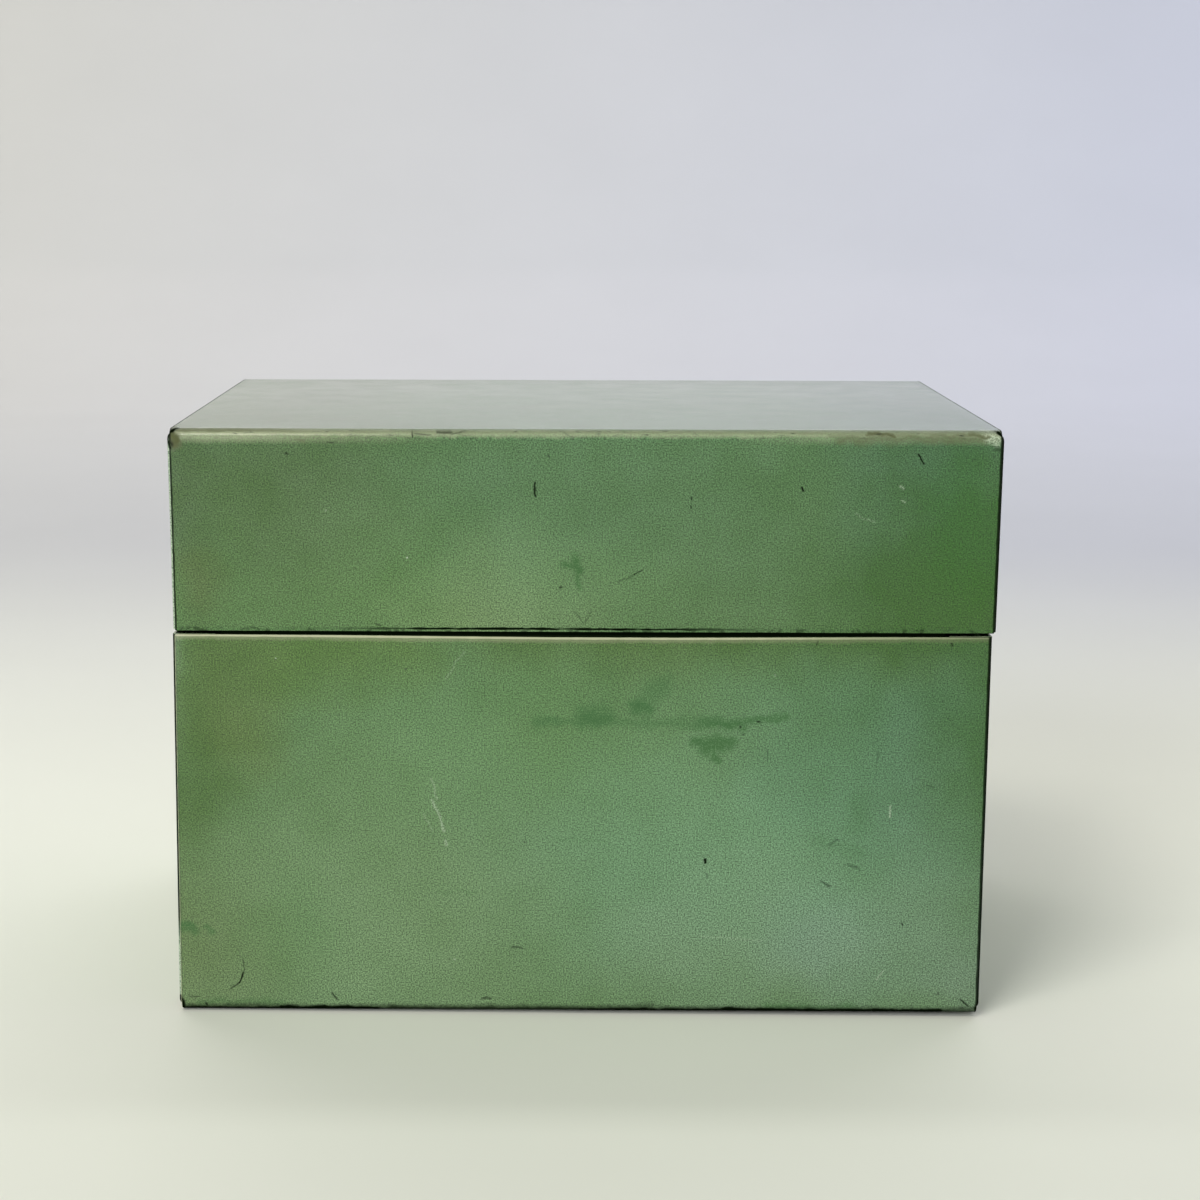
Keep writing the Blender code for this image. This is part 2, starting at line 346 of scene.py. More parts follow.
def stroke_group():
    """Strength on the line from Start to End, fading to 0 at Half width from it, or So far if
    that is more."""
    tree, given, result = new_shader_group(
        "stroke", [("Place", VECTOR), ("Start", VECTOR), ("End", VECTOR), ("Half width", NUMBER),
                   ("Strength", NUMBER), ("So far", NUMBER)], [("Mask", NUMBER)])
    off = add(tree, VECTOR_MATH, [given["Place"], given["Start"]], operation="SUBTRACT")
    run = add(tree, VECTOR_MATH, [given["End"], given["Start"]], operation="SUBTRACT")
    along = add(tree, VECTOR_MATH, [off, run], operation="DOT_PRODUCT")
    length = add(tree, VECTOR_MATH, [run, run], operation="DOT_PRODUCT")
    share = add(tree, MATH, [along, length], operation="DIVIDE")
    # A clamp of its own: one ticked on the division is worked out after every other node, and a
    # long row of strokes would then overflow the shader's memory and show black.
    share = add(tree, "ShaderNodeClamp", [share])
    near = add(tree, VECTOR_MATH, [run, share], operation="SCALE")
    gap = add(tree, VECTOR_MATH, [off, near], operation="DISTANCE")
    mask = add(tree, MAP_RANGE, [gap, given["Half width"], 0.0, 0.0, given["Strength"]],
               interpolation_type="SMOOTHSTEP")
    most = add(tree, MATH, [mask, given["So far"]], operation="MAXIMUM")
    feed(result, {"Mask": most})
    return tree


STROKE = stroke_group()
print("nodes in a stroke:", len(STROKE.nodes))

# %% Many strokes
# A stroke is never shorter than this many metres, so that a dot's length doesn't divide by zero.
SHORTEST = 1e-6


def strokes(tree, place, marks):
    """Strongest of many strokes, each (x, z) to (x, z) in mm, a half width in mm and a strength."""
    total, y = 0.0, FRONT * FLATTEN
    for x_1, z_1, x_2, z_2, half, strength in marks:
        total = add(tree, "ShaderNodeGroup",
                    {"Place": place, "Start": (x_1 * MM, y, z_1 * MM),
                     "End": (x_2 * MM + SHORTEST, y, z_2 * MM), "Half width": half * MM,
                     "Strength": strength, "So far": total}, node_tree=STROKE)
    return total


# %% Values put together
def combined(tree, operation, values):
    """Puts values together, one after another, by one operation."""
    total = values[0]
    for value in values[1:]:
        total = add(tree, MATH, [total, value], operation=operation)
    return total


def highest(tree, *values):
    return combined(tree, "MAXIMUM", values)


def product(tree, *values):
    return combined(tree, "MULTIPLY", values)


# %% A place pushed about
def pushed(tree, place, grain, reach):
    """Place seen flat from the front and pushed about by noise, so that no mark has a ruled edge:
    grain is the size of the wobble in mm and reach how far it goes."""
    shake = add(tree, NOISE, [place, 1 / (grain * MM), 3.0])
    centred = add(tree, VECTOR_MATH, [shake.outputs["Color"], (0.5, 0.5, 0.5)],
                  operation="SUBTRACT")
    # The noise seldom strays further than a quarter from its middle.
    swing = (4 * reach * MM, 0.0, 4 * reach * MM)
    place = add(tree, VECTOR_MATH, [place, (1.0, FLATTEN, 1.0)], operation="MULTIPLY")
    return add(tree, VECTOR_MATH, [centred, swing, place], operation="MULTIPLY_ADD")


# %% [markdown]
# ## Old baked enamel
#
# Enamel on a steel file is sprayed and baked: a smooth, hard, glossy coat, a tenth of a
# millimetre thick, with a very fine orange peel. Under seventy years of handling it has stayed
# deep green in some places and gone chalky in others, bluer or browner in clouds; it is peppered
# with specks, scratched in hairlines, smeared, and rubbed thin along the bends. This group mixes
# those tones, and each piece then says where its own marks are.


# %% The coat's own tones as a node group
def old_enamel_group():
    """The coat at a place, from how much it has aged there in each way. Dark also carries the
    shade that pieces paint into gaps, grooves and bends.
    """
    tree, given, result = new_shader_group(
        "old_enamel",
        [("Place", VECTOR), ("Chalk", NUMBER), ("Cool", NUMBER), ("Warm", NUMBER),
         ("Stain", NUMBER), ("Brown", NUMBER), ("Pale", NUMBER), ("Rub", NUMBER),
         ("Dark", NUMBER), ("Dent", NUMBER)],
        [("Colour", COLOUR), ("Roughness", NUMBER), ("Gloss", NUMBER), ("Height", NUMBER)])
    place = given["Place"]
    # Clouds of about 30 mm and 7 mm, and a grain drawn at 0.25 mm, coarser than the real pigment's.
    broad = add(tree, NOISE, [place, 34.0, 3.0])
    cloud = add(tree, NOISE, [place, 150.0, 4.0])
    grain = add(tree, NOISE, [place, 4200.0, 1.0])
    chalky = add(tree, MATH, [broad, 0.4, given["Chalk"]], operation="MULTIPLY_ADD")
    chalky = add(tree, MATH, [cloud, 0.32, chalky], operation="MULTIPLY_ADD")
    chalky = add(tree, MATH, [chalky, 0.36], operation="SUBTRACT", use_clamp=True)
    tone = add(tree, MIX, [chalky, linear("385D23"), linear("6B895E")], data_type="RGBA")
    hue = add(tree, VECTOR_MATH, [(-0.15, 0.02, 0.6), given["Cool"]], operation="SCALE")
    warm = add(tree, VECTOR_MATH, [(0.4, 0.0, 0.15), given["Warm"]], operation="SCALE")
    hue = add(tree, VECTOR_MATH, [hue, warm], operation="ADD")
    hue = add(tree, VECTOR_MATH, [hue, (1.0, 1.0, 1.0)], operation="ADD")
    level = add(tree, MAP_RANGE, [grain, 0.3, 0.7, 0.42, 1.58])
    hue = add(tree, VECTOR_MATH, [hue, level], operation="SCALE")
    toned = add(tree, VECTOR_MATH, [tone, hue], operation="MULTIPLY")
    # Sparse specks of up to 0.4 mm, one to a cell of 7 mm, in half of the cells.
    cells = add(tree, CELLS, [place, 150.0])
    picked = add(tree, "ShaderNodeSeparateColor", [cells.outputs["Color"]])
    size = add(tree, MAP_RANGE, [picked, 0.5, 1.0, 0.0, 0.026])
    dot = add(tree, MATH, [cells, size], operation="LESS_THAN")
    dark = add(tree, MATH, [dot, 0.5], operation="MULTIPLY")
    dark = add(tree, MATH, [given["Dark"], dark], operation="MAXIMUM")
    # A stain's edge is eaten away by the same grain.
    eaten = add(tree, MAP_RANGE, [grain, 0.35, 0.65, 1.3, 0.6])
    stain = add(tree, MATH, [given["Stain"], eaten], operation="MULTIPLY", use_clamp=True)
    grainy = add(tree, MAP_RANGE, [grain, 0.4, 0.6, 0.25, 1.25])
    pale = add(tree, MATH, [given["Pale"], grainy], operation="MULTIPLY", use_clamp=True)
    colour = toned
    for amount, hex_colour in ((stain, "335F2D"), (pale, "B4C4A8"), (given["Rub"], "C8CAA5"),
                               (given["Brown"], "555A3A"), (dark, "0A1206")):
        colour = add(tree, MIX, [amount, colour, linear(hex_colour)], data_type="RGBA")
    rough = add(tree, MAP_RANGE, [cloud, 0.3, 0.7, 0.14, 0.2])
    # Dirt is porous and throws back much less light than the coat, and the painted shade is made
    # as dull, so that it stays black.
    dirt_and_shade = add(tree, MATH, [given["Brown"], 0.7], operation="MULTIPLY")
    dirt_and_shade = add(tree, MATH, [dark, dirt_and_shade], operation="MAXIMUM", use_clamp=True)
    rough = add(tree, MIX, [dirt_and_shade, rough, 0.7], data_type="FLOAT")
    peel = add(tree, NOISE, [place, 700.0, 1.0])
    # A weld's dent is five times as deep as the peel.
    height = add(tree, MATH, [given["Dent"], -5.0, peel], operation="MULTIPLY_ADD")
    gloss = add(tree, MATH, [dirt_and_shade, -0.5, 0.5], operation="MULTIPLY_ADD")
    feed(result, {"Colour": colour, "Roughness": rough, "Gloss": gloss, "Height": height})
    return tree


OLD_ENAMEL = old_enamel_group()
print("nodes in the coat:", len(OLD_ENAMEL.nodes))

# %% A finish that wears the coat
# How chalky the coat is where no cloud says otherwise.
PLAIN_CHALK = 0.56
PEEL_DEPTH = 0.03 * MM


def enamel(name, masks):
    """Baked enamel on steel. masks(tree, place) gives what age adds on this piece."""
    material, tree, shader = new_finish(name)
    place = add(tree, "ShaderNodeTexCoord").outputs["Object"]
    coat = add(tree, "ShaderNodeGroup",
               {"Place": place, "Chalk": PLAIN_CHALK, **masks(tree, place)}, node_tree=OLD_ENAMEL)
    bump = add(tree, "ShaderNodeBump", {"Strength": 0.35, "Distance": PEEL_DEPTH,
                                        "Height": coat.outputs["Height"]})
    feed(shader, {"Base Color": coat.outputs["Colour"], "Roughness": coat.outputs["Roughness"],
                  "Specular IOR Level": coat.outputs["Gloss"], "IOR": 1.52, "Normal": bump})
    return material


# %% [markdown]
# ## Where the marks are
#
# The lists below place the marks on the two front faces. Each row is x, z to x, z and a half
# width, all in millimetres, and then a strength. The cloud lists have three strengths: how chalky
# the coat looks there, how much bluer it looks, and how much redder.

# %% Clouds on the front
# These clouds on lid and base are partly real fading of the coat and partly a painted reflection of
# the room and its shade on the gloss.
LID_CLOUDS = [
    (-54, 90, -47, 91, 28, -0.32, 0.56, 0.83), (-13, 89, 57, 89, 32, -0.04, 0.35, 0.09),
    (-16, 64, -12, 66, 21, 0.48, -0.17, 0.15), (-56, 77, -31, 76, 24, 0.08, -0.24, -0.25),
    (-63, 73, -62, 69, 7, -0.19, 0.08, 0.76), (32, 87, 36, 88, 15, -0.12, -0.03, -0.03),
    (60, 112, 60, 92, 27, -0.31, 1.01, 0.47), (57, 66, 73, 67, 30, -0.48, 0.02, -0.12),
    (-8, 77, 7, 75, 13, 0.19, -0.15, -0.17), (63, 85, 63, 75, 12, 0.02, -0.74, -0.79),
    (-67, 92, -67, 82, 10, -0.21, 0.78, 0.93),
]
BASE_CLOUDS = [
    (-59, 65, -58, 49, 14, -0.28, -0.32, 0.43), (-45, 64, -33, 64, 14, -0.19, -0.47, 0.01),
    (-2, 86, 58, 86, 33, -1.11, -0.85, 1.07), (-24, 47, -10, 49, 22, 0.23, -0.02, -0.14),
    (10, 34, 38, 33, 42, 0.45, 0.25, -0.18), (59, 50, 76, 43, 43, -0.48, 0.42, 0.01),
    (58, 61, 58, 29, 15, 0.11, 0.20, 0.17), (18, 8, 28, 9, 25, 0.37, 0.20, 0.22),
    (43, 10, 65, 11, 19, 0.25, 0.39, 0.33), (-62, 6, -24, 8, 39, 0.46, 0.05, 0.14),
    (-76, 12, -74, 10, 35, -0.40, -0.12, 0.39), (-66, 41, -66, 37, 13, -0.30, -0.06, 0.17),
    (-47, 15, -51, 11, 12, -0.12, -0.06, -0.20), (65, 4, 65, 1, 12, 0.06, 0.28, 0.33),
    (-4, 49, 6, 47, 22, -0.31, -0.20, -0.04),
]
print("clouds:", len(LID_CLOUDS), "on the lid,", len(BASE_CLOUDS), "on the base")

# %% Marks on the lid's front
LID_DARK = [
    (-7.7, 89.2, -7.7, 87.0, 0.32, 1.0), (-7.6, 88.6, -7.5, 88.0, 0.28, 0.8),
    (6.0, 73.0, 8.4, 74.3, 0.22, 0.45), (8.4, 74.3, 9.7, 75.1, 0.25, 0.8),
    (-3.6, 72.3, -3.4, 72.3, 0.3, 0.8), (-1.3, 68.2, 0.2, 66.2, 0.2, 0.45),
    (0.2, 66.2, 1.4, 68.2, 0.2, 0.4), (-5.4, 93.8, -5.3, 93.7, 0.3, 0.7),
    (17.5, 87.0, 17.5, 86.6, 0.25, 0.8), (17.5, 85.5, 17.5, 85.3, 0.28, 0.9),
    (35.4, 88.7, 35.6, 88.1, 0.34, 1.0), (53.8, 94.0, 54.9, 92.5, 0.26, 1.0),
    (-47.7, 94.1, -47.5, 93.9, 0.26, 0.8), (-33.5, 66.2, -32.8, 65.9, 0.35, 0.5),
    (-27.4, 97.9, -27.3, 96.4, 0.26, 0.9), (-27.0, 97.1, -24.4, 97.0, 0.24, 0.7),
    (-23.3, 97.4, -21.2, 97.3, 0.4, 0.8), (-21.0, 97.1, -18.9, 97.5, 0.32, 0.7),
    (-3.4, 97.6, -1.7, 96.7, 0.3, 0.5), (-1.0, 97.6, 2.9, 97.5, 0.26, 0.85),
    (66.2, 94.9, 67.2, 94.9, 0.6, 0.5), (-41.0, 95.7, -40.2, 95.6, 0.3, 0.6),
    (-66.6, 96.2, -66.0, 95.2, 0.5, 0.8),
]
LID_BROWN = [
    (-66.3, 97.2, -65.4, 95.4, 1.5, 1.3), (-65.4, 95.6, -64.7, 95.2, 0.9, 0.7),
    (45.5, 97.2, 49.5, 96.9, 0.9, 1.0), (50.0, 97.2, 53.0, 97.0, 0.7, 0.45),
    (55.0, 97.0, 64.5, 97.1, 1.0, 0.6), (62.0, 97.2, 65.2, 97.0, 0.7, 0.9),
    (41.0, 96.4, 64.0, 96.4, 1.2, 0.55), (40.0, 97.3, 45.0, 97.3, 0.6, 0.4),
    (-20.0, 97.6, -17.0, 97.6, 0.6, 0.6), (-46.0, 96.4, -44.6, 96.0, 0.6, 0.6),
]
LID_STAIN = [
    (-2.9, 76.0, -1.7, 75.9, 1.1, 0.9), (-1.2, 76.6, -0.5, 74.8, 1.5, 1.1),
    (-0.8, 74.2, -0.7, 72.6, 0.9, 0.8),
]
LID_FADED = [(64.9, 96.9, 66.4, 96.6, 1.4, 0.85), (66.0, 96.2, 66.4, 95.8, 1.1, 0.6)]
# Black outlines of the two upper corners, over sheet and end alike: painted shade of the gap
# between the sheet and the end.
LID_CORNER_SHADE = [
    (-65.0, 98.0, -66.6, 97.2, 0.55, 1.5), (-66.6, 97.2, -67.1, 95.9, 0.6, 1.6),
    (-67.0, 95.9, -66.4, 94.8, 0.5, 1.3), (65.4, 98.0, 66.6, 97.6, 0.4, 1.3),
    (66.7, 97.5, 67.6, 96.7, 0.5, 1.6), (67.6, 96.7, 67.7, 95.2, 0.55, 1.4),
]
LID_PALE = [
    (-28.3, 77.1, -28.3, 77.0, 0.26, 1.0), (51.0, 89.0, 51.6, 88.6, 0.3, 0.35),
    (51.3, 86.6, 51.8, 86.3, 0.3, 0.3), (-41.6, 84.8, -41.5, 84.7, 0.22, 0.5),
    (44.0, 84.5, 47.0, 83.0, 0.35, 0.14),
]
print("strokes on the lid:", sum(map(len, (LID_DARK, LID_BROWN, LID_STAIN, LID_PALE))))

# %% Marks on the base's front
BASE_DARK = [
    (20.6, 26.7, 20.7, 26.0, 0.45, 1.3), (20.9, 24.2, 21.0, 23.6, 0.3, 0.5),
    (41.0, 29.4, 42.3, 30.1, 0.4, 0.35), (44.3, 25.8, 45.8, 25.2, 0.45, 0.4),
    (39.8, 23.0, 41.1, 22.2, 0.32, 0.6), (60.0, 63.2, 60.1, 62.8, 0.3, 0.8),
    (38.4, 63.4, 38.2, 62.8, 0.26, 0.6), (-56.1, 8.8, -56.2, 6.4, 0.18, 0.6),
    (-56.2, 6.6, -57.0, 5.0, 0.26, 1.0), (-57.0, 5.0, -58.4, 3.8, 0.26, 0.7),
    (-57.6, 11.6, -56.3, 8.8, 0.14, 0.3), (-11.4, 11.3, -9.8, 11.1, 0.32, 0.7),
    (-16.4, 2.6, -14.7, 2.4, 0.26, 0.7), (-41.4, 3.2, -40.6, 2.2, 0.35, 0.8),
    (-65.1, 2.5, -63.6, 2.4, 0.22, 0.6), (-62.6, 1.4, -62.4, 0.7, 0.34, 0.9),
    (63.4, 2.6, 64.8, 1.4, 0.34, 0.9), (26.7, 44.0, 26.6, 42.2, 0.14, 0.35),
    (48.6, 45.4, 48.6, 43.6, 0.18, 0.4), (25.8, 49.1, 26.0, 49.1, 0.28, 0.8),
    (28.7, 50.0, 29.2, 50.0, 0.28, 0.9), (26.5, 47.8, 26.6, 47.8, 0.3, 0.7),
    (30.6, 45.3, 30.6, 43.3, 0.18, 0.5), (53.4, 15.7, 53.4, 15.5, 0.3, 0.9),
    (59.7, 3.8, 59.7, 3.6, 0.3, 0.8), (-9.2, 29.4, -9.1, 29.3, 0.28, 0.8),
    (56.8, 39.6, 58.0, 39.2, 0.24, 0.45), (-38.6, 43.4, -38.5, 43.2, 0.28, 0.6),
    (-29.0, 58.5, -28.7, 58.4, 0.28, 0.6),
]
BASE_STAIN = [
    (-7.1, 49.8, -4.2, 50.0, 1.8, 0.65), (-3.8, 49.8, -0.4, 49.8, 1.0, 0.57),
    (0.4, 50.4, 4.3, 50.4, 2.6, 0.93), (0.1, 51.7, 3.7, 51.9, 1.8, 0.5),
    (9.1, 52.4, 10.7, 52.2, 2.2, 1.0), (10.6, 51.6, 10.7, 49.2, 1.6, 0.5),
    (10.9, 53.6, 13.4, 56.4, 3.0, 0.46), (4.6, 49.8, 18.7, 49.8, 1.5, 0.5),
    (19.4, 49.7, 26.4, 49.6, 1.8, 0.86), (21.2, 49.5, 25.6, 49.5, 1.2, 1.02),
    (26.4, 50.1, 33.3, 50.8, 1.2, 0.79), (19.0, 46.4, 24.2, 46.6, 1.8, 1.02),
    (20.4, 45.4, 23.1, 45.6, 1.8, 1.02), (21.4, 44.1, 22.4, 43.4, 1.2, 0.93),
    (45.6, 36.0, 45.7, 32.5, 3.4, 0.3), (39.0, 30.0, 46.0, 28.0, 2.2, 0.2),
    (-4.0, 30.0, 4.0, 29.6, 0.5, 0.2), (-24.0, 20.8, -17.0, 20.6, 0.4, 0.2),
    (-65.8, 14.6, -64.4, 14.2, 1.4, 0.86), (-62.4, 14.6, -61.2, 13.8, 1.0, 0.65),
    (-63.5, 1.6, -50.0, 1.4, 1.3, 0.4), (31.0, 0.9, 46.0, 0.8, 1.5, 0.6),
]
BASE_PALE = [
    (-24.7, 40.2, -23.8, 36.8, 0.3, 0.28), (-24.5, 36.6, -22.8, 32.6, 0.42, 0.4),
    (-22.8, 32.6, -22.6, 31.4, 0.38, 0.45), (-22.5, 29.6, -22.3, 28.8, 0.38, 0.45),
    (-26.0, 34.0, -24.6, 31.4, 0.25, 0.18), (-22.2, 57.0, -19.2, 61.6, 0.3, 0.15),
    (-50.0, 60.2, -49.9, 60.1, 0.22, 0.6), (31.5, 57.8, 31.5, 57.7, 0.22, 0.5),
    (50.9, 35.9, 51.0, 33.9, 0.3, 0.5), (20.0, 13.5, 30.0, 12.6, 0.4, 0.12),
    (49.3, 6.3, 50.6, 7.6, 0.3, 0.35), (-21.0, 9.2, -20.9, 9.1, 0.25, 0.5),
]
print("strokes on the base:", sum(map(len, (BASE_DARK, BASE_STAIN, BASE_PALE))))

# %% [markdown]
# ## The lid's coat
#
# Fingers rub a lid's front bend and its lower edge. How near a place is to the bend is measured
# without any painting by hand: on the sharp corner that the bend rounds off, the larger of "how
# far back" and "how far down" is zero, and it grows over both faces.


# %% Measures that the coats share
def gap_from(tree, value, centre):
    """How far value is from centre, to either side."""
    off = add(tree, MATH, [value, centre], operation="SUBTRACT")
    return add(tree, MATH, [off], operation="ABSOLUTE")


def near_line(tree, value, centre, half, breakup, amount):
    """1 where value is within half of centre, with an edge that breakup moves by amount."""
    away = gap_from(tree, value, centre)
    # The edge fades over 0.6 of half, and a noise's mean, 0.5, doesn't move it.
    moved = add(tree, MATH, [breakup, amount, away], operation="MULTIPLY_ADD")
    return add(tree, MAP_RANGE, [moved, half * 1.3 + amount * 0.5, half * 0.7 + amount * 0.5])


def surveyed(tree, place):
    """Place as fine marks and as smears lie on it, its axes, and noise to break up edges."""
    return (pushed(tree, place, 2.0, 0.25), pushed(tree, place, 2.5, 0.7),
            add(tree, SEPARATE, [place]).outputs, add(tree, NOISE, [place, 420.0, 5.0]))


# %% Clouds, and hairlines on the other sides
def clouds(tree, place, table, level):
    """Sums of soft clouds: how chalky, starting from level, how cool and how warm. On the fronts
    they are partly a painted reflection of the room.
    """
    ragged = pushed(tree, place, 16.0, 4.0)
    sums = [level, 0.0, 0.0]
    for x_1, z_1, x_2, z_2, half, *shares in table:
        cloud = strokes(tree, ragged, [(x_1, z_1, x_2, z_2, half, 1.0)])
        for i, share in enumerate(shares):
            sums[i] = add(tree, MATH, [cloud, share, sums[i]], operation="MULTIPLY_ADD")
    return {"Chalk": sums[0], "Cool": sums[1], "Warm": sums[2]}


def own_clouds(tree, place):
    """Clouds for the sides that no table describes, about 40 mm across."""
    drift = add(tree, NOISE, [place, 24.0, 2.0])
    parts = add(tree, "ShaderNodeSeparateColor", [drift.outputs["Color"]]).outputs
    shares = {}
    for name, part, least, most in (("Chalk", 0, 0.32, 0.62), ("Cool", 1, -0.2, 0.5),
                                    ("Warm", 2, -0.1, 0.3)):
        shares[name] = add(tree, MAP_RANGE, [parts[part], 0.36, 0.64, least, most])
    return shares


def hairlines(tree, place, axes):
    """Fine straight scratches on every side but the front: the middles of the edges between large
    cells, where two cell centres are near, kept only here and there."""
    cells = add(tree, CELLS, [place, 42.0], feature="DISTANCE_TO_EDGE")
    line = add(tree, MAP_RANGE, [cells, 0.006, 0.001])
    centres = add(tree, CELLS, [place, 42.0])
    middle = add(tree, MAP_RANGE, [centres, 0.58, 0.48])
    patches = add(tree, NOISE, [place, 60.0, 1.0])
    kept = add(tree, MAP_RANGE, [patches, 0.5, 0.62, 0.0, 0.6])
    kept = product(tree, kept, middle)
    behind = add(tree, MAP_RANGE, [axes["Y"], FRONT + 3 * MM, FRONT + 5 * MM])
    return product(tree, line, kept, behind)


# %% The leaning sides
def beside(tree, axes, sides):
    """How far inside the nearer side edge of a sheet a place is. sides is as in pull_out."""
    from_z, to_z, left_from, right_from, left_to, right_to = sides
    left, right = [add(tree, MAP_RANGE, [axes["Z"], from_z, to_z, a, b], clamp=False)
                   for a, b in ((left_from, left_to), (right_from, right_to))]
    from_left = add(tree, MATH, [axes["X"], left], operation="SUBTRACT")
    from_right = add(tree, MATH, [right, axes["X"]], operation="SUBTRACT")
    return add(tree, MATH, [from_left, from_right], operation="MINIMUM")


# The sheets' side edges lean: their x at one height, then at another. The lid flares upwards and
# the base downwards, as two hand-set brakes leave them.
BASE_SIDES = (BASE_TOP, 0.0, base_low.x - 0.2 * MM, base_high.x + 0.2 * MM,
              base_low.x - 0.57 * MM, base_high.x + 0.07 * MM)
LID_SIDES = (LID_BOTTOM, LID_TOP, lid_low.x - 0.18 * MM, lid_high.x + 0.07 * MM,
             lid_low.x - 0.45 * MM, lid_high.x + 0.38 * MM)
print("lid at its top, mm wide:", round((LID_SIDES[5] - LID_SIDES[4]) / MM, 2))


# %% The lid's outside
def lid_masks(tree, place):
    wobbly, smudged, axes, noise = surveyed(tree, place)
    drop = add(tree, MATH, [LID_TOP, axes["Z"]], operation="SUBTRACT")
    front = add(tree, MATH, [axes["Y"], FRONT], operation="SUBTRACT")
    back = add(tree, MATH, [BACK, axes["Y"]], operation="SUBTRACT")
    bend = highest(tree, front, drop)
    rear_bend = highest(tree, back, drop)
    thin = near_line(tree, bend, 0.0, 1.15 * MM, noise, 1.0 * MM)
    faded = near_line(tree, bend, 0.0, 1.9 * MM, noise, 0.8 * MM)
    rear_thin = near_line(tree, rear_bend, 0.0, 0.9 * MM, noise, 1.6 * MM)
    # Most rubbed at the left, where a thumb opens it.
    far_left = add(tree, MAP_RANGE, [axes["X"], -20 * MM, -55 * MM])
    rub = add(tree, MATH, [far_left, 0.18, 0.36], operation="MULTIPLY_ADD")
    # Towards the right end it is rubbed again, faintly.
    far_right = add(tree, MAP_RANGE, [axes["X"], 24 * MM, 40 * MM])
    # Dirt and chips lie in the rubbed bend, stretched along it.
    flat = add(tree, "ShaderNodeMapping", {"Vector": place, "Scale": (500.0, 1500.0, 1500.0)})
    chips = add(tree, NOISE, [flat, 1.0, 3.0])
    chip = add(tree, MAP_RANGE, [chips, 0.6, 0.72, 0.0, 0.7])
    # Just behind the rubbed line, a thin brown line darkens the bend.
    brown_line = near_line(tree, front, 1.2 * MM, 0.6 * MM, chips, 0.6 * MM)
    # Along the lower edge the coat is dulled and flecked with dirt, with a dark crease above it
    # in the middle.
    hem = near_line(tree, axes["Z"], LID_BOTTOM, 0.7 * MM, noise, 0.8 * MM)
    flecks = add(tree, NOISE, [place, 1100.0, 2.0])
    flecks = add(tree, MAP_RANGE, [flecks, 0.54, 0.6, 0.0, 0.55])
    crease = near_line(tree, axes["Z"], LID_BOTTOM + 0.53 * MM, 0.17 * MM, chips, 0.5 * MM)
    reach = strokes(tree, wobbly, [(-24, 65.4, 12, 65.4, 24.0, 1.0)])
    # A painted shade runs along both side edges, where the sheet meets the end.
    rim = near_line(tree, beside(tree, axes, LID_SIDES), 0.0, 0.3 * MM, noise, 0.3 * MM)
    return {"Dark": highest(tree, strokes(tree, wobbly, LID_DARK), product(tree, chip, thin),
                            product(tree, rim, 0.9), product(tree, crease, reach),
                            product(tree, flecks, hem), strokes(tree, wobbly, LID_CORNER_SHADE)),
            "Rub": highest(tree, product(tree, thin, rub), product(tree, faded, far_left, 0.35),
                           product(tree, faded, far_right, 0.19), product(tree, rear_thin, 0.35)),
            "Brown": highest(tree, strokes(tree, smudged, LID_BROWN), product(tree, brown_line, 0.5),
                             product(tree, brown_line, far_left, 0.8)),
            "Stain": highest(tree, strokes(tree, smudged, LID_STAIN), product(tree, hem, 0.2)),
            "Pale": highest(tree, strokes(tree, wobbly, LID_PALE), strokes(tree, wobbly, LID_FADED),
                            hairlines(tree, place, axes)), **clouds(tree, place, LID_CLOUDS, 0.41)}


LID_OUTSIDE = enamel("baked_enamel_lid", lid_masks)
print("nodes in the lid's finish:", len(LID_OUTSIDE.node_tree.nodes))

# %% [markdown]
# ## The base's coat
#
# On the base the top edge is where cards, fingers and the lid knock: the coat is gone from the
# last half millimetre, and its pale line is partly a painted highlight where the edge catches the
# light. In the middle the lid's shadow is painted dark along it. The bend at the foot is dark,
# partly from being dirty and partly as painted shade under the box, most in two places.

# %% The base's outside
# Dark strokes along the foot: partly a dirty bend and partly painted shade under the box, darkest
# in two places.
FOOT_DIRT_AND_SHADE = [
    (-50.0, 0.4, -34.0, 0.3, 1.1, 1.6), (24.0, 0.3, 42.0, 0.2, 1.3, 1.6),
    (42.0, 0.2, 60.0, 0.2, 1.3, 1.7), (-66.0, 0.3, -50.0, 0.3, 1.2, 1.05),
    (-34.0, 0.4, 0.0, 0.4, 1.3, 0.95), (0.0, 0.4, 24.0, 0.3, 1.2, 1.1),
    (60.0, 0.3, 66.0, 0.3, 1.2, 0.85), (9.0, 0.9, 12.0, 1.2, 1.2, 0.5),
]
# Black spots on the two lower corners, over sheet and end alike.
FOOT_CORNERS = [(-67.0, 1.7, -66.7, 0.6, 1.25, 1.9), (66.5, 1.6, 66.4, 0.4, 1.0, 1.8)]


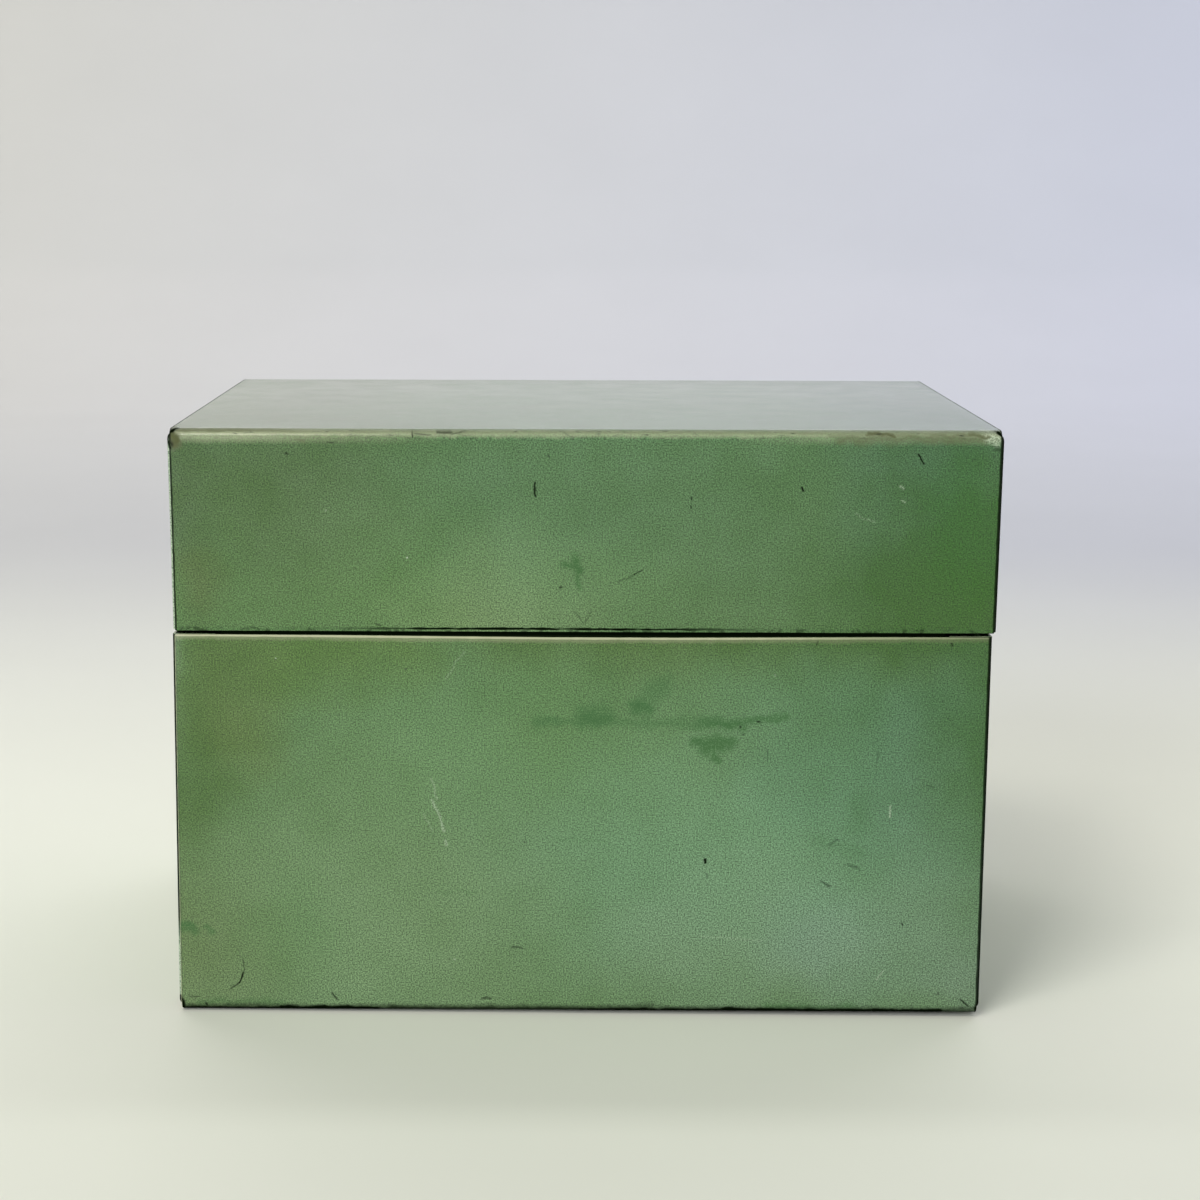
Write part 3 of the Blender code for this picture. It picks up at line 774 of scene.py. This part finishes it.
def base_masks(tree, place):
    wobbly, smudged, axes, noise = surveyed(tree, place)
    # Measured down from the top edge, but from a little lower in the middle, where the lid's
    # painted shadow covers the last third of a millimetre.
    off = gap_from(tree, axes["X"], 5 * MM)
    lid_shadow = add(tree, MAP_RANGE, [off, 60 * MM, 10 * MM, 0.0, 0.3 * MM])
    down = add(tree, MATH, [BASE_TOP, axes["Z"]], operation="SUBTRACT")
    down = add(tree, MATH, [down, lid_shadow], operation="SUBTRACT")
    line = near_line(tree, down, 0.13 * MM, 0.18 * MM, noise, 0.2 * MM)
    wash = near_line(tree, down, 0.0, 0.8 * MM, noise, 0.8 * MM)
    shade = add(tree, MAP_RANGE, [down, -0.04 * MM, -0.09 * MM])
    # The pale line is partly rubbed coat and partly a painted highlight where the edge catches
    # the light. It is palest at the left, and thin and brown at the right.
    left = add(tree, MAP_RANGE, [axes["X"], 64 * MM, 20 * MM, 0.35, 1.1])
    # The bend at the foot is painted dark as shade under the box.
    foot = near_line(tree, axes["Z"], 0.0, 1.2 * MM, noise, 1.4 * MM)
    rim = near_line(tree, beside(tree, axes, BASE_SIDES), 0.0, 0.3 * MM, noise, 0.3 * MM)
    # The painted shade along the side edges is darker at the right, away from the light. At the
    # left it lies on the end beside the sheet instead.
    side = add(tree, MAP_RANGE, [axes["X"], -10 * MM, 10 * MM, 0.3, 0.9])
    return {"Dark": highest(tree, strokes(tree, wobbly, BASE_DARK),
                            strokes(tree, wobbly, FOOT_DIRT_AND_SHADE + FOOT_CORNERS),
                            product(tree, foot, 0.55), product(tree, rim, side), shade),
            "Rub": product(tree, highest(tree, line, product(tree, wash, 0.2)), left),
            "Brown": product(tree, wash, 0.3), "Stain": strokes(tree, smudged, BASE_STAIN),
            "Pale": highest(tree, strokes(tree, wobbly, BASE_PALE), hairlines(tree, place, axes)),
            **clouds(tree, place, BASE_CLOUDS, 0.44)}


BASE_OUTSIDE = enamel("baked_enamel_base", base_masks)
print("nodes in the base's finish:", len(BASE_OUTSIDE.node_tree.nodes))

# %% [markdown]
# ## Ends, lips, inside and cut edges
#
# The ends stand half a millimetre proud of the sheets, and the groove between is painted dark as
# shade. The left end's bends are painted pale, a painted reflection of the light from the left, and
# the right end's are painted dark as shade, so both are mixed by how far right a place is. The lips
# carry a painted shadow at the height of the parting, which keeps the gap between lid and base
# black. Lips and hinge leaves were spot welded before the coat went on, and each weld left a
# shallow round dent.


# %% Ends
def front_and_patches(tree, place, axes):
    """Where ends and cut edges are darkest, from painted shade and from being dirty: all of the
    front bends, and the rest only here and there.
    """
    near = add(tree, MAP_RANGE, [axes["Y"], FRONT + 2 * MM, FRONT + 7 * MM, 1.0, 0.0])
    patches = add(tree, NOISE, [place, 130.0, 3.0])
    patches = add(tree, MAP_RANGE, [patches, 0.42, 0.66, 0.0, 0.75])
    return highest(tree, near, patches)


def end_masks(sides, pale_z, bare_z, marks):
    """Ends' coat: the left's bends painted pale as a reflection from pale_z on, and bare of it by
    bare_z; the right's bends and the groove painted dark as shade.
    """
    def masks(tree, place):
        axes = add(tree, SEPARATE, [place]).outputs
        noise = add(tree, NOISE, [place, 600.0, 4.0])
        spots = strokes(tree, pushed(tree, place, 2.0, 0.25), marks)
        # The groove beside the sheet is painted dark as shade.
        groove = near_line(tree, beside(tree, axes, sides), 0.0, 0.15 * MM, noise, 0.12 * MM)
        along = add(tree, MATH, [axes["Y"]], operation="ABSOLUTE")
        depth = add(tree, MATH, [BACK, along], operation="SUBTRACT")
        bend = near_line(tree, depth, LAP, 0.8 * MM, noise, 0.6 * MM)
        # The left end's bends are painted pale as a reflection of the light from the left, and the
        # right end's are painted dark as shade.
        worn = add(tree, MAP_RANGE, [axes["Z"], bare_z, pale_z])
        right = add(tree, MAP_RANGE, [axes["X"], -30 * MM, 30 * MM])
        left = add(tree, MATH, [1.0, right], operation="SUBTRACT")
        pale = product(tree, worn, left)
        away_from_light = add(tree, MATH, [1.0, pale], operation="SUBTRACT")
        # The bends are painted bluer than the flat of the panel, a painted reflection of the cool
        # light that they catch.
        shares = own_clouds(tree, place)
        shares["Cool"] = highest(tree, shares["Cool"], product(tree, bend, 0.8))
        grime_and_shade = product(tree, bend, away_from_light, 0.95)
        dark_reach = front_and_patches(tree, place, axes)
        groove_shade = add(tree, MATH, [dark_reach, 0.6, 0.4], operation="MULTIPLY_ADD")
        return {"Dark": highest(tree, product(tree, groove, groove_shade),
                                product(tree, grime_and_shade, dark_reach), spots),
                "Pale": highest(tree, product(tree, bend, pale, 0.75),
                                hairlines(tree, place, axes)),
                **shares}
    return masks


BASE_ENDS = enamel("baked_enamel_base_ends",
                   end_masks(BASE_SIDES, 11 * MM, 16 * MM, FOOT_CORNERS))
LID_ENDS = enamel("baked_enamel_lid_ends",
                  end_masks(LID_SIDES, LID_BOTTOM, LID_BOTTOM - 1 * MM, LID_CORNER_SHADE))
print("finishes so far:", [m.name for m in bpy.data.materials if m.name.startswith("baked")])

# %% Weld dents
WELD_PITCH = 21 * MM
WELD_RADIUS = 1.7 * MM
WELD_FLAT = 1.2 * MM
# On a hinge leaf the welds are this far from the pin.
WELD_ROW = 0.62 * LEAF_HEIGHT


def weld_spots(tree, along, off):
    """Shallow round dents where the welding tips pressed: one to a pitch along a strip, on the
    line where off is 0."""
    step = add(tree, MATH, [along, WELD_PITCH / 2], operation="PINGPONG")
    flat = add(tree, COMBINE, [step, off])
    away = add(tree, VECTOR_MATH, [flat], operation="LENGTH")
    return add(tree, MAP_RANGE, [away, WELD_RADIUS, WELD_FLAT], interpolation_type="SMOOTHSTEP")


# %% Inside, lips and leaves
def inside_masks(tree, place):
    # Cards slide in and out upright, and leave upright scuffs.
    upright = add(tree, "ShaderNodeMapping", {"Vector": place, "Scale": (700.0, 700.0, 40.0)})
    scuffs = add(tree, NOISE, [upright, 1.0, 4.0])
    pale = add(tree, MAP_RANGE, [scuffs, 0.56, 0.72, 0.0, 0.24])
    return {"Pale": pale, **own_clouds(tree, place)}


def lip_masks(tree, place):
    axes = add(tree, SEPARATE, [place]).outputs
    noise = add(tree, NOISE, [place, 420.0, 4.0])
    # A painted shadow at the height of the parting keeps the gap between lid and base black.
    line = near_line(tree, axes["Z"], (BASE_TOP + LID_BOTTOM) / 2, 0.9 * MM, noise, 0.8 * MM)
    worn = near_line(tree, axes["Z"], LIP_TOP, 0.4 * MM, noise, 0.8 * MM)
    # One sum serves all three strips: across the front strip y is steady, and x along the others.
    along = add(tree, MATH, [axes["X"], axes["Y"]], operation="ADD")
    off = add(tree, MATH, [axes["Z"], (LIP_LOW + BASE_TOP) / 2], operation="SUBTRACT")
    dents = weld_spots(tree, along, off)
    return {"Dark": highest(tree, line, product(tree, dents, 0.3)), "Rub": product(tree, worn, 0.6),
            "Dent": dents}


def leaf_masks(tree, place):
    axes = add(tree, SEPARATE, [place]).outputs
    off = gap_from(tree, axes["Z"], HINGE_Z)
    off = add(tree, MATH, [off, WELD_ROW], operation="SUBTRACT")
    dents = weld_spots(tree, axes["X"], off)
    return {**inside_masks(tree, place), "Dark": product(tree, dents, 0.3), "Dent": dents}


INSIDE = enamel("baked_enamel_inside", inside_masks)
LIPS = enamel("baked_enamel_lips", lip_masks)
LEAVES = enamel("baked_enamel_leaves", leaf_masks)
print("weld dents along the front lip:", int((lip_high.x - lip_low.x) / WELD_PITCH))


# %% Cut edges
def edge_masks(pale_from, pale_to, shade_and_dirt):
    """Sheared edges: rubbed pale at pale_from along x, and by pale_to painted dark, partly dirty
    and partly as the shade of the gap they face.
    """
    def masks(tree, place):
        axes = add(tree, SEPARATE, [place]).outputs
        noise = add(tree, NOISE, [place, 700.0, 4.0])
        rub = add(tree, MAP_RANGE, [axes["X"], pale_to, pale_from])
        grime_and_shade = add(tree, MATH, [1.0, rub], operation="SUBTRACT", use_clamp=True)
        spots = add(tree, MAP_RANGE, [noise, 0.6, 0.7])
        worn = add(tree, MAP_RANGE, [noise, 0.36, 0.56, 0.35, 0.95])
        return {"Rub": product(tree, rub, worn),
                "Dark": highest(tree, product(tree, grime_and_shade, shade_and_dirt, front_and_patches(tree, place, axes)),
                                product(tree, spots, 0.6))}
    return masks


# The base's edge is painted dark from x = -40 mm on, partly dirty and partly as the lid's
# shadow. The lid's edge is painted dark all along, partly dirty and partly as shade in the
# parting gap, and the plain one is half rubbed: the places given for these two are far off the box.
BASE_CUT = enamel("worn_cut_edge_base", edge_masks(-64 * MM, -40 * MM, 0.95))
LID_CUT = enamel("worn_cut_edge_lid", edge_masks(-2.0, -1.0, 0.9))
PLAIN_CUT = enamel("worn_cut_edge", edge_masks(1.0, -1.0, 0.0))
print("cut edges:", [m.name for m in (BASE_CUT, LID_CUT, PLAIN_CUT)])


# %% Pin wire
def drawn_wire():
    """Drawn steel: a grey metal with fine lines along its length, dulled by age."""
    material, tree, shader = new_finish("drawn_steel_wire")
    place = add(tree, "ShaderNodeTexCoord").outputs["Object"]
    stretched = add(tree, "ShaderNodeMapping", {"Vector": place, "Scale": (60.0, 3000.0, 3000.0)})
    lines = add(tree, NOISE, [stretched, 1.0, 3.0])
    tone = add(tree, MIX, [lines, linear("7C7B76"), linear("9C9A94")], data_type="RGBA")
    rough = add(tree, MAP_RANGE, [lines, 0.0, 1.0, 0.3, 0.5])
    feed(shader, {"Base Color": tone, "Roughness": rough, "Metallic": 1.0})
    return material


WIRE = drawn_wire()
print("finishes in all:", len(bpy.data.materials))

# %% [markdown]
# ## Settling a piece
#
# Each piece below is drawn as a thin skin, then given its thickness and a rounded rim by
# modifiers. Settling takes the shape that the modifiers make as a plain mesh and puts them away,
# so the piece moves with its body as one solid thing.


# %% New pieces and settling
def new_piece(name, mesh):
    """An object that shows the mesh."""
    piece = bpy.data.objects.new(name, mesh)
    bpy.context.collection.objects.link(piece)
    return piece


def settle(piece):
    """Keeps what the modifiers make as a plain mesh, and takes the modifiers away."""
    graph = bpy.context.evaluated_depsgraph_get()
    made = bpy.data.meshes.new_from_object(piece.evaluated_get(graph), depsgraph=graph)
    made.name = piece.name
    piece.modifiers.clear()
    piece.data = made
    return piece


# %% Thickness and rims
def as_sheet(piece, thickness, finishes, rim=RIM_ROUND):
    """Gives a skin its sheet thickness inwards, and rounds the rims that the shears left. The
    finishes are for its outside, its inside and its cut edges."""
    piece.data.materials.clear()
    for finish in finishes:
        piece.data.materials.append(finish)
    shell = piece.modifiers.new("sheet", "SOLIDIFY")
    shell.thickness = thickness
    shell.offset = -1
    shell.use_even_offset = True
    shell.use_quality_normals = True
    shell.material_offset = 1
    shell.material_offset_rim = 2
    edge = piece.modifiers.new("rim", "BEVEL")
    edge.width = rim
    edge.segments = 3
    edge.limit_method = "ANGLE"
    edge.angle_limit = radians(60)
    settle(piece)
    piece.data.shade_smooth()
    piece.data.set_sharp_from_angle(angle=SHARP)


# %% Leaning sides
def pull_out(piece, low, high, sides):
    """Leans a piece's sides so that the sheet's edges, at low.x and high.x, come to the places that
    sides gives: a height, another height, then left and right x at the first and at the second."""
    from_z, to_z, left_from, right_from, left_to, right_to = sides
    for vertex in piece.data.vertices:
        rise = (vertex.co.z - from_z) / (to_z - from_z)
        across = (vertex.co.x - low.x) / (high.x - low.x)
        left = left_from + (left_to - left_from) * rise
        right = right_from + (right_to - right_from) * rise
        vertex.co.x = left + (right - left) * across


# %% Telling and fitting
def told(piece):
    """Prints how large a piece came out."""
    mesh = piece.data
    spans = [max(along) - min(along) for along in zip(*(v.co for v in mesh.vertices))]
    triangles = sum(len(face.vertices) - 2 for face in mesh.polygons)
    print(piece.name, [round(span / MM, 2) for span in spans], "mm,", triangles, "triangles")


def fit(piece, body, node):
    """Puts a finished piece on its body, in place of the plain node."""
    told(piece)
    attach(piece, body)
    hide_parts(node)


# %% [markdown]
# ## Bent sheets
#
# The base and the lid are each one sheet, bent over front, floor or top, and back. Such a piece
# is a path swept sideways: four corners, two of them rounded, drawn along the width. The back
# edge is cut lower between the hinge's ends, so the sweep is done in three columns, and the two
# outer columns carry on up to the edge. The tree's inputs are the sizes a sheet-metal drawing
# would give.

# %% Helpers for shape trees
WHOLE, YES_NO, FINISH = "NodeSocketInt", "NodeSocketBool", "NodeSocketMaterial"
LINE = "GeometryNodeCurvePrimitiveLine"
# Points of two sweeps that are nearer than this, in metres, are one.
SAME_PLACE = 2e-6


def new_shape_tree(name, sizes):
    """Empty geometry tree with named inputs, and its first node's outputs and last node."""
    tree = bpy.data.node_groups.new(name, "GeometryNodeTree")
    for label, kind in sizes:
        tree.interface.new_socket(label, in_out="INPUT", socket_type=kind)
    tree.interface.new_socket("Shape", in_out="OUTPUT", socket_type="NodeSocketGeometry")
    return tree, add(tree, "NodeGroupInput").outputs, add(tree, "NodeGroupOutput")


def shaped(name, tree, sizes):
    """A new piece whose mesh the tree makes from the named sizes, set by their identifiers."""
    piece = new_piece(name, bpy.data.meshes.new(name))
    made = piece.modifiers.new(tree.name, "NODES")
    made.node_group = tree
    for item in tree.interface.items_tree:
        if item.in_out == "INPUT":
            made[item.identifier] = sizes[item.name]
    return settle(piece)


def joined(tree, parts):
    """All parts as one: the node's one input takes in any number of them."""
    node = add(tree, "GeometryNodeJoinGeometry")
    for part in parts:
        feed(node, [part])
    return node


def finish_shape(tree, shape, given, last):
    """Welds the parts, turns them over if asked, and gives them their finish. A sweep along x
    lays its profile upside down and back to front, so first the whole is turned half round x."""
    shape = add(tree, "GeometryNodeTransform", {"Geometry": shape, "Rotation": (pi, 0, 0)})
    shape = add(tree, "GeometryNodeMergeByDistance", {"Geometry": shape, "Distance": SAME_PLACE})
    shape = add(tree, "GeometryNodeFlipFaces", [shape, given["Turn over"]])
    shape = add(tree, "GeometryNodeRealizeInstances", [shape])
    shape = add(tree, "GeometryNodeSetMaterial", {"Geometry": shape, "Material": given["Finish"]})
    feed(last, [shape])


# %% A node tree for a bent sheet
def bent_sheet_tree():
    """Sheet along x whose section is a path in (y, z)."""
    tree, size, last = new_shape_tree("bent_sheet", [
        ("Left", NUMBER), ("Right", NUMBER), ("Front", NUMBER), ("Back", NUMBER),
        ("Open edge", NUMBER), ("Closed side", NUMBER), ("Bend radius", NUMBER),
        ("Notch half", NUMBER), ("Notch edge", NUMBER), ("Bend steps", WHOLE),
        ("Columns", WHOLE), ("Turn over", YES_NO), ("Finish", FINISH)])
    places = [("Front", "Open edge"), ("Front", "Closed side"), ("Back", "Closed side"),
              ("Back", "Notch edge"), ("Back", "Open edge")]
    corners = [add(tree, COMBINE, [size[y], size[z]]) for y, z in places]
    outline = add(tree, "GeometryNodeCurvePrimitiveQuadrilateral",
                  {f"Point {i + 1}": corners[i] for i in range(4)}, mode="POINTS")
    outline = add(tree, "GeometryNodeSetSplineCyclic", {"Geometry": outline, "Cyclic": False})
    path = add(tree, "GeometryNodeFilletCurve",
               {"Curve": outline, "Count": size["Bend steps"], "Radius": size["Bend radius"]},
               mode="POLY")
    tab = add(tree, LINE, [corners[3], corners[4]])
    notch_left = add(tree, MATH, [size["Notch half"], -1.0], operation="MULTIPLY")
    stops = [size["Left"], notch_left, size["Notch half"], size["Right"]]
    ends = [add(tree, COMBINE, [stop]) for stop in stops]
    rails = []
    for i, columns in enumerate((4, size["Columns"], 4)):
        rail = add(tree, LINE, [ends[i], ends[i + 1]])
        rail = add(tree, "GeometryNodeResampleCurve", {"Curve": rail, "Count": columns})
        rails.append(rail)
    main = add(tree, "GeometryNodeCurveToMesh", [joined(tree, rails), path])
    tabs = add(tree, "GeometryNodeCurveToMesh", [joined(tree, (rails[0], rails[2])), tab])
    finish_shape(tree, joined(tree, (main, tabs)), size, last)
    return tree


BENT_SHEET = bent_sheet_tree()
print("nodes in the bent sheet:", len(BENT_SHEET.nodes))


# %% The two bent sheets
def bent_sheet(body, open_z, closed_z, bend, finish, cut, sides):
    """The body's sheet, from its open edge's height to its closed side's."""
    node = body + "_wrap"
    low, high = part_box(node)
    upward = 1 if open_z > closed_z else -1
    sheet = shaped(body + "_sheet", BENT_SHEET, {
        "Left": low.x, "Right": high.x, "Front": FRONT, "Back": BACK, "Open edge": open_z,
        "Closed side": closed_z, "Bend radius": bend, "Notch half": NOTCH_HALF,
        "Notch edge": HINGE_Z - upward * NOTCH_REACH, "Bend steps": 12, "Columns": 25,
        "Turn over": upward < 0, "Finish": finish})
    as_sheet(sheet, SHEET, (finish, INSIDE, cut))
    pull_out(sheet, low, high, sides)
    fit(sheet, body, node)


bent_sheet("base", BASE_TOP, 0.0, BASE_BEND, BASE_OUTSIDE, BASE_CUT, BASE_SIDES)
bent_sheet("lid", LID_BOTTOM, LID_TOP, LID_BEND, LID_OUTSIDE, LID_CUT, LID_SIDES)

# %% [markdown]
# ## Pressed ends
#
# Each end is pressed as a shallow pan whose three flanges lap inside the sheet. A pan is a box
# with two sides missing, so it starts as one: first the two corners where flanges meet are
# rounded on the same centres as the sheet's bends, then all the bends between panel and flange.


# %% Pressed ends
def pressed_end(body, hand, open_z, closed_z, corner, finish, wrap_box, sides):
    """One end: a panel at the left or right with flanges on the sides that aren't open."""
    node = f"{body}_end_{hand}"
    low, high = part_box(node)
    side = -1 if hand == "left" else 1
    bm = bmesh.new()
    bmesh.ops.create_cube(bm, size=1)
    size = Vector(high) - Vector(low)
    bmesh.ops.scale(bm, verts=bm.verts, vec=size)
    bmesh.ops.translate(bm, verts=bm.verts, vec=(Vector(high) + Vector(low)) / 2)
    upward = 1 if open_z > closed_z else -1
    open_sides = [f for f in bm.faces if f.normal.x * side < -0.5 or f.normal.z * upward > 0.5]
    bmesh.ops.delete(bm, geom=open_sides, context="FACES")
    weights = bm.edges.layers.float.new("bevel_weight_edge")
    for edge in bm.edges:
        across = abs(edge.verts[0].co.x - edge.verts[1].co.x) > FLANGE / 2
        if across and len(edge.link_faces) == 2:
            edge[weights] = 1
    pan = new_piece(node + "_pan", as_mesh(node + "_pan", bm))
    for label, width, steps, limit in (("corners", corner, 10, "WEIGHT"),
                                       ("bends", END_BEND, 6, "ANGLE")):
        bevel = pan.modifiers.new(label, "BEVEL")
        bevel.width = width
        bevel.segments = steps
        bevel.limit_method = limit
    as_sheet(pan, SHEET, (finish, INSIDE, PLAIN_CUT))
    pull_out(pan, *wrap_box, sides)
    fit(pan, body, node)


for hand in ("left", "right"):
    pressed_end("base", hand, BASE_TOP, 0.0, BASE_BEND - LAP, BASE_ENDS, (base_low, base_high),
                BASE_SIDES)
for hand in ("left", "right"):
    pressed_end("lid", hand, LID_BOTTOM, LID_TOP, LID_BEND - LAP, LID_ENDS, (lid_low, lid_high),
                LID_SIDES)


# %% [markdown]
# ## Lip strips
#
# Three flat strips stand up inside the base and guide the lid. Each is a flat blank with its two
# upper corners rounded, so it is drawn as an outline and given its thickness.

# %% Lip strips
LIP_CORNER = 0.0015


def lip_strip(node):
    """A strip, drawn as its face towards low y or low x and thickened the other way."""
    low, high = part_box(node)
    along = 0 if high.x - low.x > high.y - low.y else 1
    first, final = low[along], high[along]
    run, deeper = [Vector((1, 0, 0)), Vector((0, 1, 0))][::1 if along == 0 else -1]
    near = deeper * low[1 - along]
    outline = [(first, low.z), (final, low.z)]
    for middle, start in ((final - LIP_CORNER, 0), (first + LIP_CORNER, 90)):
        for step in range(9):
            turn = radians(start + 90 * step / 8)
            outline.append((middle + LIP_CORNER * cos(turn),
                            high.z - LIP_CORNER + LIP_CORNER * sin(turn)))
    bm = bmesh.new()
    face = bm.faces.new([bm.verts.new(near + run * a + Vector((0, 0, b))) for a, b in outline])
    face.normal_update()
    if face.normal.dot(deeper) > 0:
        face.normal_flip()
    strip = new_piece(node + "_strip", as_mesh(node + "_strip", bm))
    as_sheet(strip, high[1 - along] - low[1 - along], (LIPS, LIPS, LIPS))
    fit(strip, "base", node)


for node in ("lip_front", "lip_left", "lip_right"):
    lip_strip(node)


# %% [markdown]
# ## Hinge leaves
#
# Each leaf is a strip whose upper or lower edge is cut into fingers, and every finger is curled
# round the pin. The fingers repeat, so a node tree sweeps one finger and one plain column, puts
# copies of them at every other pitch along the leaf, and welds them side by side.


# %% A node tree for a hinge leaf
def hinge_leaf_tree():
    """Fingers curled round the pin at every other pitch, and plain columns between them."""
    tree, size, last = new_shape_tree("hinge_leaf", [
        ("Pitch", NUMBER), ("Gap", NUMBER), ("Half length", NUMBER), ("Knuckles", WHOLE),
        ("First knuckle x", NUMBER), ("Columns", WHOLE), ("First column x", NUMBER),
        ("Leaf y", NUMBER), ("Axis y", NUMBER), ("Axis z", NUMBER), ("Radius", NUMBER),
        ("Far edge", NUMBER), ("Finger edge", NUMBER), ("Curl", NUMBER), ("Curl steps", WHOLE),
        ("Turn over", YES_NO), ("Finish", FINISH)])
    points = [add(tree, COMBINE, [size["Leaf y"], size[level]])
              for level in ("Far edge", "Finger edge", "Axis z")]
    tail = add(tree, LINE, [points[0], points[1]])
    neck = add(tree, LINE, [points[1], points[2]])
    curl = add(tree, "GeometryNodeCurveArc",
               {"Resolution": size["Curl steps"], "Radius": size["Radius"],
                "Start Angle": radians(180), "Sweep Angle": size["Curl"]}, mode="RADIUS")
    centre = add(tree, COMBINE, [size["Axis y"], size["Axis z"]])
    curl = add(tree, "GeometryNodeTransform", {"Geometry": curl, "Translation": centre})
    step = add(tree, MATH, [size["Pitch"], 2.0], operation="MULTIPLY")
    step = add(tree, COMBINE, [step])
    finger = joined(tree, (tail, neck, curl))
    rows = []
    for count, first, width_sign, profile in (
            (size["Knuckles"], size["First knuckle x"], "SUBTRACT", finger),
            (size["Columns"], size["First column x"], "ADD", tail)):
        width = add(tree, MATH, [size["Pitch"], size["Gap"]], operation=width_sign)
        sides = [add(tree, MATH, [width, share], operation="MULTIPLY") for share in (-0.5, 0.5)]
        ends = [add(tree, COMBINE, [x]) for x in sides]
        rail = add(tree, LINE, [ends[0], ends[1]])
        one = add(tree, "GeometryNodeCurveToMesh", [rail, profile])
        start = add(tree, COMBINE, [first])
        spots = add(tree, "GeometryNodeMeshLine",
                    {"Count": count, "Start Location": start, "Offset": step}, mode="OFFSET")
        copies = add(tree, "GeometryNodeInstanceOnPoints", {"Points": spots, "Instance": one})
        rows.append(add(tree, "GeometryNodeRealizeInstances", [copies]))
    # The outermost columns are squared off at the leaf's own ends.
    place = add(tree, "GeometryNodeInputPosition")
    axes = add(tree, SEPARATE, [place]).outputs
    reach = add(tree, MATH, [axes["X"]], operation="ABSOLUTE")
    limit = add(tree, MATH, [size["Half length"], size["Gap"]], operation="SUBTRACT")
    outer = add(tree, MATH, [reach, limit], operation="GREATER_THAN")
    side = add(tree, MATH, [axes["X"]], operation="SIGN")
    end_x = add(tree, MATH, [side, size["Half length"]], operation="MULTIPLY")
    end = add(tree, COMBINE, [end_x, axes["Y"], axes["Z"]])
    squared = add(tree, "GeometryNodeSetPosition",
                  {"Geometry": joined(tree, rows), "Selection": outer, "Position": end})
    finish_shape(tree, squared, size, last)
    return tree


HINGE_LEAF = hinge_leaf_tree()
PITCH = 2 * HINGE_HALF / KNUCKLES
print("knuckle pitch, mm:", round(PITCH / MM, 2))

# %% The two leaves
# The base's leaf has the knuckles at both ends, and the lid's has those between.
for body, first, upward in (("base", 0, 1), ("lid", 1, -1)):
    node = "hinge_leaf_" + body
    kept = (KNUCKLES + 1 - first) // 2
    leaf = shaped(node + "_curled", HINGE_LEAF, {
        "Pitch": PITCH, "Gap": KNUCKLE_GAP, "Half length": HINGE_HALF, "Knuckles": kept,
        "First knuckle x": -HINGE_HALF + (first + 0.5) * PITCH, "Columns": KNUCKLES - kept,
        "First column x": -HINGE_HALF + (1 - first + 0.5) * PITCH,
        "Leaf y": HINGE_Y - KNUCKLE_RADIUS, "Axis y": HINGE_Y, "Axis z": HINGE_Z,
        "Radius": KNUCKLE_RADIUS, "Far edge": HINGE_Z - upward * LEAF_HEIGHT,
        "Finger edge": HINGE_Z - upward * NOTCH_REACH, "Curl": radians(-300 * upward),
        "Curl steps": 37, "Turn over": upward > 0, "Finish": LEAVES})
    as_sheet(leaf, SHEET, (LEAVES, LEAVES, PLAIN_CUT), LEAF_RIM_ROUND)
    fit(leaf, body, node)


# %% [markdown]
# ## Hinge pin
#
# A length of drawn wire. Its two ends were nipped off and lightly dressed, so each has a small
# chamfer.

# %% Hinge pin
CHAMFER = 0.0002
# An edge whose ends differ by less than this in height runs round a rim.
LEVEL = 1e-7
bm = bmesh.new()
bmesh.ops.create_cone(bm, cap_ends=True, segments=48, radius1=PIN_RADIUS, radius2=PIN_RADIUS,
                      depth=2 * HINGE_HALF)
rims = [e for e in bm.edges if abs(e.verts[0].co.z - e.verts[1].co.z) < LEVEL]
bmesh.ops.bevel(bm, geom=rims, offset=CHAMFER, segments=3, affect="EDGES")
turn = Matrix.Translation((0, HINGE_Y, HINGE_Z)) @ Matrix.Rotation(radians(90), 4, "Y")
bmesh.ops.transform(bm, matrix=turn, verts=bm.verts)
pin = new_piece("hinge_wire", as_mesh("hinge_wire", bm))
pin.data.materials.append(WIRE)
pin.data.shade_smooth()
pin.data.set_sharp_from_angle(angle=SHARP)
fit(pin, "base", "hinge_pin")
